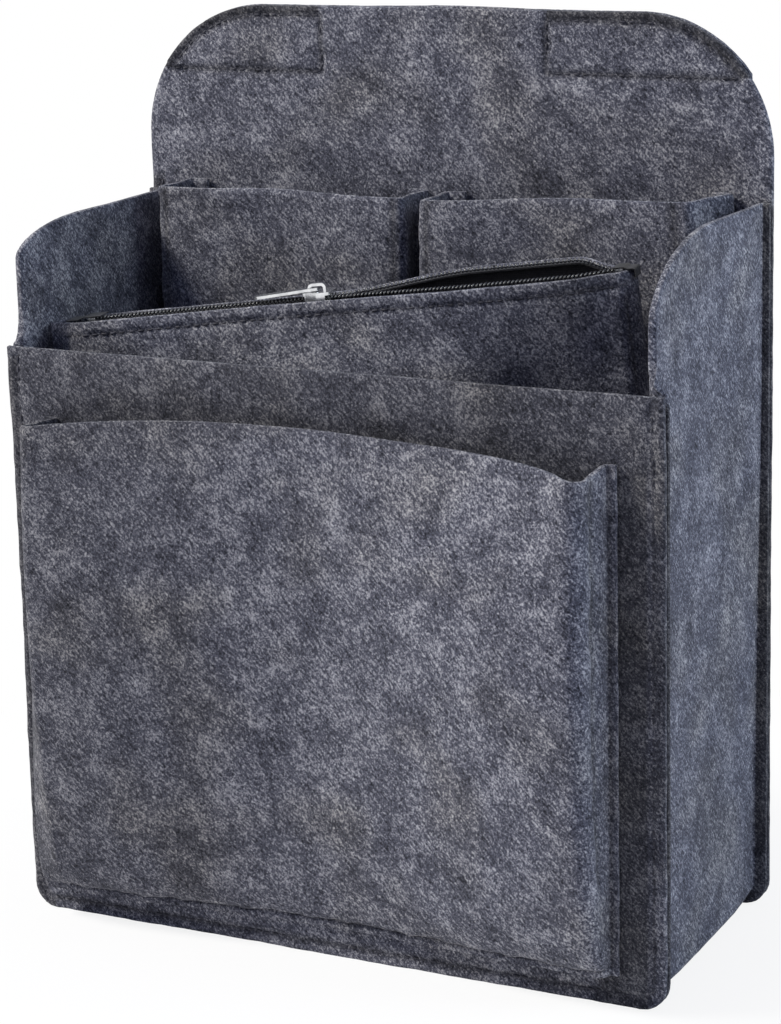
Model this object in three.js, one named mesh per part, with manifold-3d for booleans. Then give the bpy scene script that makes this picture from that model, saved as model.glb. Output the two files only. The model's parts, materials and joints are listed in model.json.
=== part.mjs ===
// An organizer insert of felt for a backpack. A front panel, a back panel and one gusset strip are
// sewn to an open box. Bellows pockets sit on the front panel and inside the back panel, and a loose
// pouch with a coil zip stands askew in the box. Millimetres, +Z up, the front faces -Y, and the origin
// is on the floor under the middle of the whole part.
import * as THREE from "three";
import { mergeVertices, toCreasedNormals } from "three/addons/utils/BufferGeometryUtils.js";
import Module from "manifold-3d";

const wasm = await Module();
wasm.setup();

// Felt and its seams
const FELT = 3;
const LAYER_GAP = 0.3;
const FOLD_RADIUS = 2.2; // middle of the felt in a tight fold
const SEAM_ALLOWANCE = 5; // flange outside the box

// Box
const PANEL_WIDTH = 280;
const FRONT_HEIGHT = 235;
const BACK_HEIGHT = 360;
const BODY_DEPTH = 124; // front of the front panel to rear of the back panel
const BOTTOM_RADIUS = 10;
const TOP_RADIUS = 55;

// Side walls, each with a rounded front corner
const LEFT_WALL_HEIGHT = 282;
const LEFT_BROW_LENGTH = 30;
const LEFT_BROW_DROP = 22;
const RIGHT_WALL_HEIGHT = 288;
const RIGHT_BROW_LENGTH = 60;
const RIGHT_BROW_DROP = 32;

// Grab band on the rear
const BAND_HEIGHT = 28;
const BAND_GRIP = 100; // free length between the two sewn ends
const BAND_BOW = 9;
const BAND_TIP = 5; // height left where the band meets the rounded corner

// Front pocket
const FRONT_POCKET_WIDTH = 238;
const FRONT_POCKET_BOTTOM = 13;
const FRONT_POCKET_TOP = 209;
const FRONT_POCKET_TILT = 2.6; // its left end stands higher, its right end lower
const FRONT_POCKET_DEPTH = 27; // panel to the outside of the face, at the folds of the mouth
const FRONT_POCKET_DIP = 15; // the middle of the mouth is pressed back
const FRONT_POCKET_CROWN = 5.6; // and stands higher than its ends
const FRONT_POCKET_FOLD = 6; // soft fold between face and side gusset
const FRONT_POCKET_BELLY = 0.6; // share of the height in which it fills out
const FRONT_POCKET_FLANGE = 4.5; // turned out beside the side gusset and sewn down
const FRONT_POCKET_BULGE = 11; // the left gusset is creased outwards near the floor
const FRONT_POCKET_TOP_BULGE = -3; // and inwards at the mouth
const FRONT_POCKET_LEAN = 1; // the mouth is pushed to the left

// Back pockets
const BACK_POCKET_BOTTOM = 130;
const LEFT_POCKET_TOP = 287;
const RIGHT_POCKET_TOP = 289;
const RIGHT_POCKET_TILT = -2.5; // its right end stands higher
const RIGHT_POCKET_LEAN = 10; // its right fold is pushed to the left
const BACK_POCKET_DEPTH = 30;
const BACK_POCKET_DIP = 2;
const BACK_POCKET_CROWN = 1;
const BACK_POCKET_FOLD = 3;
const BACK_POCKET_BELLY = 0.38;
const BACK_POCKET_FLANGE = 9; // turned in under the face and sewn down
const LEFT_POCKET_WIDTH = 116;
const POCKET_SLOT = 5; // between the two pockets
const POCKET_LEFT_MARGIN = 10;
const POCKET_RIGHT_MARGIN = 5;

// Shape shared by the pockets
const POCKET_SHOULDER = 15; // the fold holds the face out over this width
const POCKET_CREASE = 2; // a side gusset is pinched in halfway
const POCKET_EASE = 1.5; // its cross-sections lie closer together near the floor of the pocket

// Loose pouch
const POUCH_SIDE_ROOM = 26; // how much shorter it is than the box is wide
const POUCH_HEIGHT = 235;
const POUCH_WALL_GAP = 1; // its upper left corner leans on the left wall
const POUCH_FRONT_ROOM = 16; // front panel to the middle of its left end
const POUCH_BACK_ROOM = 22; // its right end to the mouth of the back pockets
const POUCH_RAISE = 27; // its right end stands higher
const POUCH_BASE_REACH = 60; // height in which the two sheets part
const LIP_REACH = 80; // height that bends where the mouth is open
const LIP_RISE = 4; // the rear lip stands higher
const MOUTH_OPENING = 5; // half of the widest opening
const MOUTH_FULL = 0.5; // share of the open length in which the mouth widens
const MOUTH_CLOSE = 0.85; // share after which it closes again
const POUCH_RIGHT_CLOSE = 6; // length in which the sheets meet at the right end

// Zip
const ZIP_END = 16; // sewn left end of the pouch without chain
const ZIP_RIGHT_END = 4; // and its right end
const ZIP_HALF = 7; // chain middle to the felt
const ZIP_SINK = 1; // tape below the felt edge
const TAPE = 0.7;
const TAPE_DROP = 10; // part of the tape that is sewn to the felt
const COIL_PITCH = 1.57;
const COIL_WIDTH = 2.6;
const COIL_HEIGHT = 1.9;
const COIL_ROOT = 1; // the hollow between two loops
const COIL_REACH = 0.4; // loops pass the middle by this much
const COIL_VALLEY = 0.5; // loops stand above the hollows by this much
const STOP_LENGTH = 3;

// Slider and pull
const SLIDER_FROM_LEFT = 112; // left end of the pouch to the bail
const SLIDER_TAIL = 5.5; // bail to the end over the closed chain
const SLIDER_NOSE = 6.5; // bail to the end over the open chain
const SLIDER_PLATE = 1.2;
const SLIDER_PLAY = 0.4;
const SLIDER_RIM = 1;
const CHANNEL_SPREAD = 2.4; // each row moves out by this much inside the slider
const CHANNEL_START = 4; // tail side of the bail
const CHANNEL_END = 1; // nose side of the bail
const POST_WIDTH = 2.4;
const BAIL_LENGTH = 7.4;
const BAIL_WIDTH = 2;
const BAIL_ROOM = 2; // height of the window in the bail
const BAIL_WIRE = 1.1;
const PULL_LENGTH = 26;
const PULL_WIDTH = 6.4;
const PULL_SHEET = 1.1;
const PULL_BAR = 1.4; // bar in the bail's window
const PULL_EYE = 3; // width of the eye
const PULL_NECK = 7.5; // length of the narrow end
const PULL_SLOT_LENGTH = 5;
const PULL_SLOT_WIDTH = 2.6;
const PULL_DROOP = 3; // degrees below the chain's line

// Fineness of the curves
const ARC_STEPS = 4;
const MIN_TANGENT = 1; // a slight turn is drawn out over at least this length to each side
const POCKET_LEVELS = 9;
const FACE_STEPS = 14;
const POUCH_LEVELS = 8;
const END_STEPS = 4;
const ZIP_STEP = 9;
const BAND_STEPS = 24;
const SHARP_EDGE = Math.PI / 5; // a smaller turn between two facets looks round

// Places that follow from the dimensions
const wallX = PANEL_WIDTH / 2 - SEAM_ALLOWANCE;
const innerX = wallX - FELT;
const baseTop = SEAM_ALLOWANCE + FELT;
const backFace = BODY_DEPTH - FELT;
const pouchLength = 2 * innerX - POUCH_SIDE_ROOM;
const zipStart = ZIP_END;
const zipEnd = pouchLength - ZIP_RIGHT_END;
const coilStart = zipStart + STOP_LENGTH + 2 * LAYER_GAP;
const coilEnd = zipEnd - STOP_LENGTH - 2 * LAYER_GAP;

const felt = new THREE.MeshStandardMaterial({ color: 0x565a68, roughness: 0.95, metalness: 0 });
const tapeCloth = new THREE.MeshStandardMaterial({ color: 0x101114, roughness: 0.85, metalness: 0 });
const nylon = new THREE.MeshStandardMaterial({ color: 0x18191c, roughness: 0.4, metalness: 0 });
const nickel = new THREE.MeshStandardMaterial({ color: 0xc9ccd0, roughness: 0.25, metalness: 1 });

const clamp01 = (t) => THREE.MathUtils.clamp(t, 0, 1);
const smooth = (from, to, t) => THREE.MathUtils.smoothstep(t, from, to);
const mix = THREE.MathUtils.lerp;

function meshOf(name, geometry, material) {
  const mesh = new THREE.Mesh(toCreasedNormals(geometry, SHARP_EDGE), material);
  mesh.name = name;
  return mesh;
}

// Closed mesh to solid and back, for adding and cutting.
function toSolid(geometry) {
  const bare = geometry.clone();
  bare.deleteAttribute("normal");
  bare.deleteAttribute("uv");
  const merged = mergeVertices(bare);
  const vertProperties = new Float32Array(merged.attributes.position.array);
  const triVerts = new Uint32Array(merged.index.array);
  return new wasm.Manifold(new wasm.Mesh({ numProp: 3, vertProperties, triVerts }));
}

function toGeometry(solid) {
  const mesh = solid.getMesh();
  const geometry = new THREE.BufferGeometry();
  geometry.setAttribute("position", new THREE.BufferAttribute(mesh.vertProperties, 3));
  geometry.setIndex(new THREE.BufferAttribute(mesh.triVerts, 1));
  return geometry;
}

function signedVolume(points, triangles) {
  return triangles.reduce((sum, [a, b, c]) => {
    const normal = new THREE.Vector3().crossVectors(points[b], points[c]);
    return sum + points[a].dot(normal) / 6;
  }, 0);
}

// A closed skin over rings of equally many points. The two end rings are filled, seen along u and v.
function loft(rings, u, v) {
  const size = rings[0].length;
  const points = rings.flat();
  const triangles = [];
  for (let r = 0; r + 1 < rings.length; r += 1) {
    for (let i = 0; i < size; i += 1) {
      const j = (i + 1) % size;
      const low = r * size;
      const high = low + size;
      triangles.push([low + i, low + j, high + j], [low + i, high + j, high + i]);
    }
  }
  for (const [r, ahead] of [[0, false], [rings.length - 1, true]]) {
    const flat = rings[r].map((p) => new THREE.Vector2(p[u], p[v]));
    const cap = THREE.ShapeUtils.triangulateShape(flat, []);
    const follows = cap.some((t) => t.some((i, k) => t[(k + 1) % 3] === (i + 1) % size));
    for (const [a, b, c] of cap) {
      const turned = follows === ahead ? [a, b, c] : [a, c, b];
      triangles.push(turned.map((i) => r * size + i));
    }
  }
  const outward = signedVolume(points, triangles) > 0;
  const geometry = new THREE.BufferGeometry().setFromPoints(points);
  geometry.setIndex(triangles.flatMap(([a, b, c]) => (outward ? [a, b, c] : [a, c, b])));
  return geometry;
}

// A flat shape drawn as seen from the front, given a thickness towards the rear from y = 0.
function upright(shape, thickness) {
  const geometry = new THREE.ExtrudeGeometry(shape, {
    depth: thickness,
    bevelEnabled: false,
    curveSegments: 2 * ARC_STEPS,
  });
  const toFront = new THREE.Matrix4().makeBasis(
    new THREE.Vector3(1, 0, 0),
    new THREE.Vector3(0, 0, 1),
    new THREE.Vector3(0, -1, 0),
  );
  return geometry.applyMatrix4(toFront).translate(0, thickness, 0);
}

// A flat shape drawn as seen from the right, given a width about x = 0.
function sideways(shape, width) {
  const geometry = new THREE.ExtrudeGeometry(shape, {
    depth: width,
    bevelEnabled: false,
    curveSegments: 3 * ARC_STEPS,
  });
  const toSide = new THREE.Matrix4().makeBasis(
    new THREE.Vector3(0, 1, 0),
    new THREE.Vector3(0, 0, 1),
    new THREE.Vector3(1, 0, 0),
  );
  return geometry.applyMatrix4(toSide).translate(-width / 2, 0, 0);
}

// Points along a folded line, each with the direction across it. A corner with a radius becomes an arc.
function foldedLine(corners) {
  const line = corners.map(({ x, y }) => new THREE.Vector2(x, y));
  const across = (d) => new THREE.Vector2(-d.y, d.x).normalize();
  return line.flatMap((here, i) => {
    const before = line[Math.max(i - 1, 0)];
    const after = line[Math.min(i + 1, line.length - 1)];
    const { radius } = corners[i];
    if (!radius) {
      return [{ at: here, normal: across(after.clone().sub(before)) }];
    }
    const inward = here.clone().sub(before).normalize();
    const outward = after.clone().sub(here).normalize();
    const turn = Math.atan2(inward.cross(outward), inward.dot(outward));
    const bend = Math.tan(Math.abs(turn) / 2);
    const tangent = Math.max(radius * bend, MIN_TANGENT);
    const round = (Math.sign(turn) * tangent) / bend;
    const start = here.clone().addScaledVector(inward, -tangent);
    const centre = start.clone().addScaledVector(across(inward), round);
    return Array.from({ length: ARC_STEPS + 1 }, (_, k) => {
      const normal = across(inward).rotateAround(new THREE.Vector2(), (turn * k) / ARC_STEPS);
      const at = centre.clone().addScaledVector(normal, -round);
      return { at, normal };
    });
  });
}

// The outline of a folded line that has a thickness.
function ribbon(samples, thickness) {
  const edge = (side) => samples.map(({ at, normal }) => (
    at.clone().addScaledVector(normal, (side * thickness) / 2)
  ));
  return [...edge(1), ...edge(-1).reverse()];
}

// Panels

function panelShape(height, topRadius) {
  const half = PANEL_WIDTH / 2;
  const shape = new THREE.Shape();
  shape.moveTo(-half + BOTTOM_RADIUS, 0);
  shape.lineTo(half - BOTTOM_RADIUS, 0);
  shape.absarc(half - BOTTOM_RADIUS, BOTTOM_RADIUS, BOTTOM_RADIUS, -Math.PI / 2, 0);
  if (topRadius > 0) {
    shape.absarc(half - topRadius, height - topRadius, topRadius, 0, Math.PI / 2);
    shape.absarc(-half + topRadius, height - topRadius, topRadius, Math.PI / 2, Math.PI);
  } else {
    shape.lineTo(half, height);
    shape.lineTo(-half, height);
  }
  shape.absarc(-half + BOTTOM_RADIUS, BOTTOM_RADIUS, BOTTOM_RADIUS, Math.PI, 1.5 * Math.PI);
  return shape;
}

function frontPanel() {
  return meshOf("front_panel", upright(panelShape(FRONT_HEIGHT, 0), FELT), felt);
}

function backPanel() {
  const sheet = upright(panelShape(BACK_HEIGHT, TOP_RADIUS), FELT);
  return meshOf("back_panel", sheet.translate(0, backFace, 0), felt);
}

// The band follows the rounded top of the back panel and bows out between its sewn ends.
function grabBand() {
  const half = PANEL_WIDTH / 2;
  const bottom = BACK_HEIGHT - BAND_HEIGHT;
  const cornerX = half - TOP_RADIUS;
  const drop = TOP_RADIUS - BAND_HEIGHT + BAND_TIP;
  const endX = cornerX + Math.sqrt(TOP_RADIUS ** 2 - drop ** 2);
  const rings = Array.from({ length: BAND_STEPS + 1 }, (_, i) => {
    const x = endX * Math.sin((Math.PI / 2) * (-1 + (2 * i) / BAND_STEPS));
    const past = Math.max(Math.abs(x) - cornerX, 0);
    const top = BACK_HEIGHT - TOP_RADIUS + Math.sqrt(TOP_RADIUS ** 2 - past ** 2);
    const bow = BAND_BOW * Math.cos((Math.PI / 2) * clamp01(Math.abs(x) / (BAND_GRIP / 2))) ** 2;
    const near = BODY_DEPTH + LAYER_GAP + bow;
    return [
      new THREE.Vector3(x, near, bottom),
      new THREE.Vector3(x, near + FELT, bottom),
      new THREE.Vector3(x, near + FELT, top),
      new THREE.Vector3(x, near, top),
    ];
  });
  return meshOf("rear_grab_band", loft(rings, "y", "z"), felt);
}

// Left wall, base and right wall in one strip, with both long edges turned out.
function gussetStrip() {
  const near = FELT + LAYER_GAP + FELT / 2;
  const far = backFace - LAYER_GAP - FELT / 2;
  const section = ribbon(foldedLine([
    { x: SEAM_ALLOWANCE, y: near },
    { x: -FELT / 2, y: near, radius: FOLD_RADIUS },
    { x: -FELT / 2, y: far, radius: FOLD_RADIUS },
    { x: SEAM_ALLOWANCE, y: far },
  ]), FELT);
  const bend = BOTTOM_RADIUS - SEAM_ALLOWANCE;
  const spare = SEAM_ALLOWANCE;
  const stations = [{ x: -wallX, z: LEFT_WALL_HEIGHT + spare, angle: Math.PI }];
  for (const [side, first, last] of [[-1, Math.PI, 1.5 * Math.PI], [1, 1.5 * Math.PI, 2 * Math.PI]]) {
    for (let k = 0; k <= ARC_STEPS; k += 1) {
      const angle = mix(first, last, k / ARC_STEPS);
      const x = side * (wallX - bend) + bend * Math.cos(angle);
      stations.push({ x, z: SEAM_ALLOWANCE + bend + bend * Math.sin(angle), angle });
    }
  }
  stations.push({ x: wallX, z: RIGHT_WALL_HEIGHT + spare, angle: 2 * Math.PI });
  const rings = stations.map(({ x, z, angle }) => section.map((p) => (
    new THREE.Vector3(x + p.x * Math.cos(angle), p.y, z + p.x * Math.sin(angle))
  )));
  const strip = toSolid(loft(rings, "x", "y"));

  const front = near - FELT / 2;
  const aboveWall = (side, height, browLength, browDrop) => {
    const foot = height - browDrop;
    const brow = new THREE.Shape();
    brow.moveTo(-spare, foot);
    brow.lineTo(front, foot);
    brow.absellipse(front + browLength, foot, browLength, browDrop, Math.PI, Math.PI / 2, true);
    brow.lineTo(BODY_DEPTH + spare, height);
    brow.lineTo(BODY_DEPTH + spare, height + 2 * spare);
    brow.lineTo(-spare, height + 2 * spare);
    const width = PANEL_WIDTH / 2 + spare;
    return toSolid(sideways(brow, width).translate((side * width) / 2, 0, 0));
  };

  // Above the front panel the wall has no flange.
  const freeDepth = 4 * FELT;
  const flangeEnd = (side, height) => {
    const free = height - FRONT_HEIGHT + spare;
    const box = new THREE.BoxGeometry(2 * SEAM_ALLOWANCE, freeDepth, free);
    return toSolid(box.translate(side * (wallX + SEAM_ALLOWANCE), front, FRONT_HEIGHT + free / 2));
  };
  const trimmed = [
    aboveWall(-1, LEFT_WALL_HEIGHT, LEFT_BROW_LENGTH, LEFT_BROW_DROP),
    aboveWall(1, RIGHT_WALL_HEIGHT, RIGHT_BROW_LENGTH, RIGHT_BROW_DROP),
    flangeEnd(-1, LEFT_WALL_HEIGHT),
    flangeEnd(1, RIGHT_WALL_HEIGHT),
  ].reduce((whole, cut) => whole.subtract(cut), strip);
  return meshOf("gusset_strip", toGeometry(trimmed), felt);
}

// A pocket is one piece of felt: flange, side gusset, face, side gusset, flange. Its flanges are turned
// out (turn -1) or in under the face (turn 1). A gusset that bulges lies creased over its flange.
function bellowsPocket({ name, wallY, left, right, bottom, top, tilt, depth, dip, crown, ...shape }) {
  const { fold, belly, flange, turn, bulge, topBulge, leftLean, rightLean } = shape;
  const flangeAt = LAYER_GAP + FELT / 2;
  const layer = FELT + LAYER_GAP;
  const tightFold = FELT / 2 + LAYER_GAP / 4;
  const tightAt = flangeAt + 2 * FOLD_RADIUS + LAYER_GAP;
  const stackAt = flangeAt + 2 * layer + LAYER_GAP;
  const half = (right - left) / 2;
  const wallLeft = left + FELT / 2;
  const wallRight = right - FELT / 2;
  const rings = Array.from({ length: POCKET_LEVELS }, (_, level) => {
    const rise = (level / (POCKET_LEVELS - 1)) ** POCKET_EASE;
    const full = Math.sqrt(1 - (1 - clamp01(rise / belly)) ** 2);
    const outAt = depth - FELT / 2;
    const leftAt = mix(bulge > 0 ? stackAt : tightAt, outAt, full);
    const rightAt = mix(tightAt, outAt, full);
    const middleAt = mix(flangeAt, outAt - dip, full);
    const softFold = mix(FOLD_RADIUS, fold, full);
    const crease = POCKET_CREASE * full ** 2;
    const leftPush = leftLean * rise ** 2;
    const rightPush = rightLean * rise ** 2;
    const hold = (x) => 1 - smooth(POCKET_SHOULDER, half, Math.min(x - left, right - x));
    const face = Array.from({ length: FACE_STEPS + 1 }, (_, k) => {
      const share = k / FACE_STEPS;
      const x = mix(wallLeft + 2 * softFold, wallRight - 2 * softFold, share);
      const endAt = share < 0.5 ? leftAt : rightAt;
      return { x: x - mix(leftPush, rightPush, share), y: mix(middleAt, endAt, hold(x)) };
    });
    const halfway = (flangeAt + layer + leftAt) / 2;
    const bulgeX = wallLeft - leftPush / 2 - mix(bulge, topBulge, smooth(0, 1, rise));
    const leftGusset = bulge > 0
      ? [
        { x: wallLeft, y: flangeAt, radius: tightFold },
        { x: wallLeft, y: flangeAt + layer, radius: tightFold },
        { x: bulgeX, y: halfway - layer / 2, radius: tightFold },
        { x: bulgeX, y: halfway + layer / 2, radius: tightFold },
      ]
      : [
        { x: wallLeft, y: flangeAt, radius: FOLD_RADIUS },
        { x: wallLeft - leftPush / 2 + crease, y: (flangeAt + leftAt) / 2 },
      ];
    const line = foldedLine([
      { x: wallLeft + turn * flange, y: flangeAt },
      ...leftGusset,
      { x: wallLeft - leftPush, y: leftAt, radius: softFold },
      ...face,
      { x: wallRight - rightPush, y: rightAt, radius: softFold },
      { x: wallRight - rightPush / 2 - crease, y: (flangeAt + rightAt) / 2 },
      { x: wallRight, y: flangeAt, radius: FOLD_RADIUS },
      { x: wallRight - turn * flange, y: flangeAt },
    ]);
    return ribbon(line, FELT).map((p) => {
      const end = 1 - 2 * clamp01((p.x - left) / (right - left));
      const height = top + tilt * end + crown * (1 - hold(p.x)) - bottom;
      return new THREE.Vector3(p.x, wallY - p.y, bottom + rise * height);
    });
  });
  return meshOf(name, loft(rings, "x", "y"), felt);
}

function frontPocket() {
  return bellowsPocket({
    name: "front_pocket",
    wallY: 0,
    left: -FRONT_POCKET_WIDTH / 2,
    right: FRONT_POCKET_WIDTH / 2,
    bottom: FRONT_POCKET_BOTTOM,
    top: FRONT_POCKET_TOP,
    tilt: FRONT_POCKET_TILT,
    depth: FRONT_POCKET_DEPTH,
    dip: FRONT_POCKET_DIP,
    crown: FRONT_POCKET_CROWN,
    fold: FRONT_POCKET_FOLD,
    belly: FRONT_POCKET_BELLY,
    flange: FRONT_POCKET_FLANGE,
    turn: -1,
    bulge: FRONT_POCKET_BULGE,
    topBulge: FRONT_POCKET_TOP_BULGE,
    leftLean: FRONT_POCKET_LEAN,
    rightLean: FRONT_POCKET_LEAN,
  });
}

function backPocket({ name, left, right, top, tilt, rightLean }) {
  return bellowsPocket({
    name,
    wallY: backFace,
    left,
    right,
    bottom: BACK_POCKET_BOTTOM,
    top,
    tilt,
    depth: BACK_POCKET_DEPTH,
    dip: BACK_POCKET_DIP,
    crown: BACK_POCKET_CROWN,
    fold: BACK_POCKET_FOLD,
    belly: BACK_POCKET_BELLY,
    flange: BACK_POCKET_FLANGE,
    turn: 1,
    bulge: 0,
    topBulge: 0,
    leftLean: 0,
    rightLean,
  });
}

function backPockets() {
  const start = -innerX + POCKET_LEFT_MARGIN;
  const split = start + LEFT_POCKET_WIDTH;
  return [
    backPocket({
      name: "back_pocket_left",
      left: start,
      right: split,
      top: LEFT_POCKET_TOP,
      tilt: 0,
      rightLean: 0,
    }),
    backPocket({
      name: "back_pocket_right",
      left: split + POCKET_SLOT,
      right: innerX - POCKET_RIGHT_MARGIN,
      top: RIGHT_POCKET_TOP,
      tilt: RIGHT_POCKET_TILT,
      rightLean: RIGHT_POCKET_LEAN,
    }),
  ];
}

// Pouch, in its own frame: x along the zip from the lower left corner, y to the rear, z up.

function steps(from, to, count) {
  return Array.from({ length: count + 1 }, (_, i) => mix(from, to, i / count));
}

// Stations along the zip, and the same ones with the sewn ends for the two sheets.
const zipStations = [
  zipStart,
  ...steps(coilStart, coilEnd, Math.ceil((coilEnd - coilStart) / ZIP_STEP)),
  zipEnd,
];
const pouchStations = [
  ...steps(0, zipStart, END_STEPS).slice(0, -1),
  ...zipStations,
  ...steps(zipEnd, pouchLength, END_STEPS).slice(1),
];

// Share of the widest opening, right of the slider.
function mouth(x) {
  const nose = SLIDER_FROM_LEFT + SLIDER_NOSE;
  const open = clamp01((x - nose) / (coilEnd - nose));
  return smooth(0, MOUTH_FULL, open) * (1 - smooth(MOUTH_CLOSE, 1, open));
}

// How much higher the lip with its row stands; side is -1 for the front and 1 for the rear.
function lipLift(x, side) {
  return side > 0 ? LIP_RISE * mouth(x) : 0;
}

// A row rides on its tape, which is straight from station to station.
function rowLift(x, side) {
  const next = zipStations.findIndex((station) => station >= x);
  const from = zipStations[next - 1];
  const to = zipStations[next];
  return mix(lipLift(from, side), lipLift(to, side), (x - from) / (to - from));
}

// How far each row is from the middle of the chain, in and beyond the slider.
function rowSpread(x) {
  const channel = smooth(SLIDER_FROM_LEFT - CHANNEL_START, SLIDER_FROM_LEFT + CHANNEL_END, x);
  const sewn = 1 - smooth(coilEnd - 2 * STOP_LENGTH, coilEnd, x);
  return CHANNEL_SPREAD * channel * sewn + MOUTH_OPENING * mouth(x);
}

// The felt follows the rows in a softer line.
function lipSpread(x) {
  const parting = smooth(SLIDER_FROM_LEFT - 2 * ZIP_END, SLIDER_FROM_LEFT + ZIP_END, x);
  const sewn = 1 - smooth(zipEnd - 2 * ZIP_END, zipEnd, x);
  return CHANNEL_SPREAD * parting * sewn + MOUTH_OPENING * mouth(x);
}

function lipShare(height) {
  return clamp01((height - POUCH_HEIGHT + LIP_REACH) / LIP_REACH) ** 2;
}

// Distance from the middle of the pouch to the inner face of either sheet.
function sheetGap(x, height) {
  const leftEnd = smooth(0, ZIP_END, x);
  const rightEnd = smooth(0, POUCH_RIGHT_CLOSE, pouchLength - x);
  const ends = Math.min(leftEnd, rightEnd);
  const parted = Math.sqrt(1 - (1 - clamp01(height / POUCH_BASE_REACH)) ** 2);
  const open = lipSpread(x) * lipShare(height);
  return LAYER_GAP / 2 + ends * parted * (ZIP_HALF - LAYER_GAP / 2 + open);
}

// Side is -1 for the front sheet and 1 for the rear one.
function pouchSheet(name, side) {
  const rings = pouchStations.map((x) => {
    const column = (extra) => Array.from({ length: POUCH_LEVELS + 1 }, (_, k) => {
      const share = (1 - Math.cos((Math.PI * k) / POUCH_LEVELS)) / 2;
      const height = POUCH_HEIGHT * share;
      const lift = lipLift(x, side) * lipShare(height);
      return new THREE.Vector3(x, side * (sheetGap(x, height) + extra), height + lift);
    });
    return [...column(FELT), ...column(0).reverse()];
  });
  return meshOf(name, loft(rings, "y", "z"), felt);
}

// Zip, in a frame whose z = 0 is the top of the tape where the chain is closed.

function zipTape(name, side) {
  const gapAt = (x, down) => sheetGap(x, POUCH_HEIGHT - ZIP_SINK - down) - LAYER_GAP - TAPE / 2;
  const rings = zipStations.map((x) => {
    const line = foldedLine([
      { x: rowSpread(x) + COIL_ROOT, y: -TAPE / 2 },
      { x: gapAt(x, TAPE / 2), y: -TAPE / 2, radius: TAPE },
      { x: gapAt(x, TAPE_DROP / 2), y: -TAPE_DROP / 2 },
      { x: gapAt(x, TAPE_DROP), y: -TAPE_DROP },
    ]);
    const lift = lipLift(x, side);
    return ribbon(line, TAPE).map((p) => new THREE.Vector3(x, side * p.x, p.y + lift));
  });
  return meshOf(name, loft(rings, "y", "z"), tapeCloth);
}

// Loops and hollows alternate along the row; the loops of one row meet the hollows of the other.
function zipCoil(name, side) {
  const halfLoops = Math.round((2 * (coilEnd - coilStart)) / COIL_PITCH);
  const rings = steps(coilStart, coilEnd, halfLoops).map((x, i) => {
    const loop = (i + (side > 0 ? 1 : 0)) % 2 === 0;
    const inner = rowSpread(x) + (loop ? -COIL_REACH : COIL_ROOT);
    const outer = rowSpread(x) + COIL_WIDTH;
    const low = LAYER_GAP + rowLift(x, side);
    const high = low + COIL_HEIGHT - (loop ? 0 : COIL_VALLEY);
    return [[inner, low], [outer, low], [outer, high], [inner, high]]
      .map(([y, z]) => new THREE.Vector3(x, side * y, z));
  });
  return meshOf(name, loft(rings, "y", "z"), nylon);
}

function zipStop(name, x, width) {
  const block = new THREE.Shape();
  const corner = COIL_HEIGHT / 4;
  const half = width / 2;
  block.moveTo(-half, LAYER_GAP);
  block.lineTo(half, LAYER_GAP);
  block.lineTo(half, LAYER_GAP + COIL_HEIGHT - corner);
  block.lineTo(half - corner, LAYER_GAP + COIL_HEIGHT);
  block.lineTo(-half + corner, LAYER_GAP + COIL_HEIGHT);
  block.lineTo(-half, LAYER_GAP + COIL_HEIGHT - corner);
  return meshOf(name, sideways(block, STOP_LENGTH).translate(x, 0, 0), nickel);
}

function zipStops() {
  const bottom = zipStop("zip_stop_bottom", zipStart + LAYER_GAP + STOP_LENGTH / 2, 2 * COIL_WIDTH);
  const tops = [-1, 1].map((side) => {
    const name = side < 0 ? "zip_stop_top_front" : "zip_stop_top_back";
    const stop = zipStop(name, zipEnd - LAYER_GAP - STOP_LENGTH / 2, COIL_WIDTH - LAYER_GAP);
    stop.position.y = (side * (COIL_WIDTH + LAYER_GAP)) / 2;
    return stop;
  });
  return [bottom, ...tops];
}

// Slider, in a frame with x = 0 at the bail and z = 0 at the top of the tape.

const plateLow = LAYER_GAP + COIL_HEIGHT + SLIDER_PLAY;
const plateTop = plateLow + SLIDER_PLATE;
const tailHalf = COIL_WIDTH + SLIDER_PLAY;
const noseHalf = tailHalf + CHANNEL_SPREAD;

function extruded(shape, from, to) {
  const geometry = new THREE.ExtrudeGeometry(shape, {
    depth: to - from,
    bevelEnabled: false,
    curveSegments: ARC_STEPS,
  });
  return geometry.translate(0, 0, from);
}

function plateShape() {
  const tail = tailHalf + SLIDER_RIM;
  const nose = noseHalf + SLIDER_RIM;
  const shape = new THREE.Shape();
  shape.moveTo(-SLIDER_TAIL, -tail + SLIDER_RIM);
  shape.quadraticCurveTo(-SLIDER_TAIL, -tail, -SLIDER_TAIL + SLIDER_RIM, -tail);
  shape.lineTo(-CHANNEL_START, -tail);
  shape.lineTo(CHANNEL_END, -nose);
  shape.lineTo(SLIDER_NOSE - 2 * SLIDER_RIM, -nose);
  shape.quadraticCurveTo(SLIDER_NOSE, -nose, SLIDER_NOSE, -nose + 2 * SLIDER_RIM);
  shape.lineTo(SLIDER_NOSE, nose - 2 * SLIDER_RIM);
  shape.quadraticCurveTo(SLIDER_NOSE, nose, SLIDER_NOSE - 2 * SLIDER_RIM, nose);
  shape.lineTo(CHANNEL_END, nose);
  shape.lineTo(-CHANNEL_START, tail);
  shape.lineTo(-SLIDER_TAIL + SLIDER_RIM, tail);
  shape.quadraticCurveTo(-SLIDER_TAIL, tail, -SLIDER_TAIL, tail - SLIDER_RIM);
  return shape;
}

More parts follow.
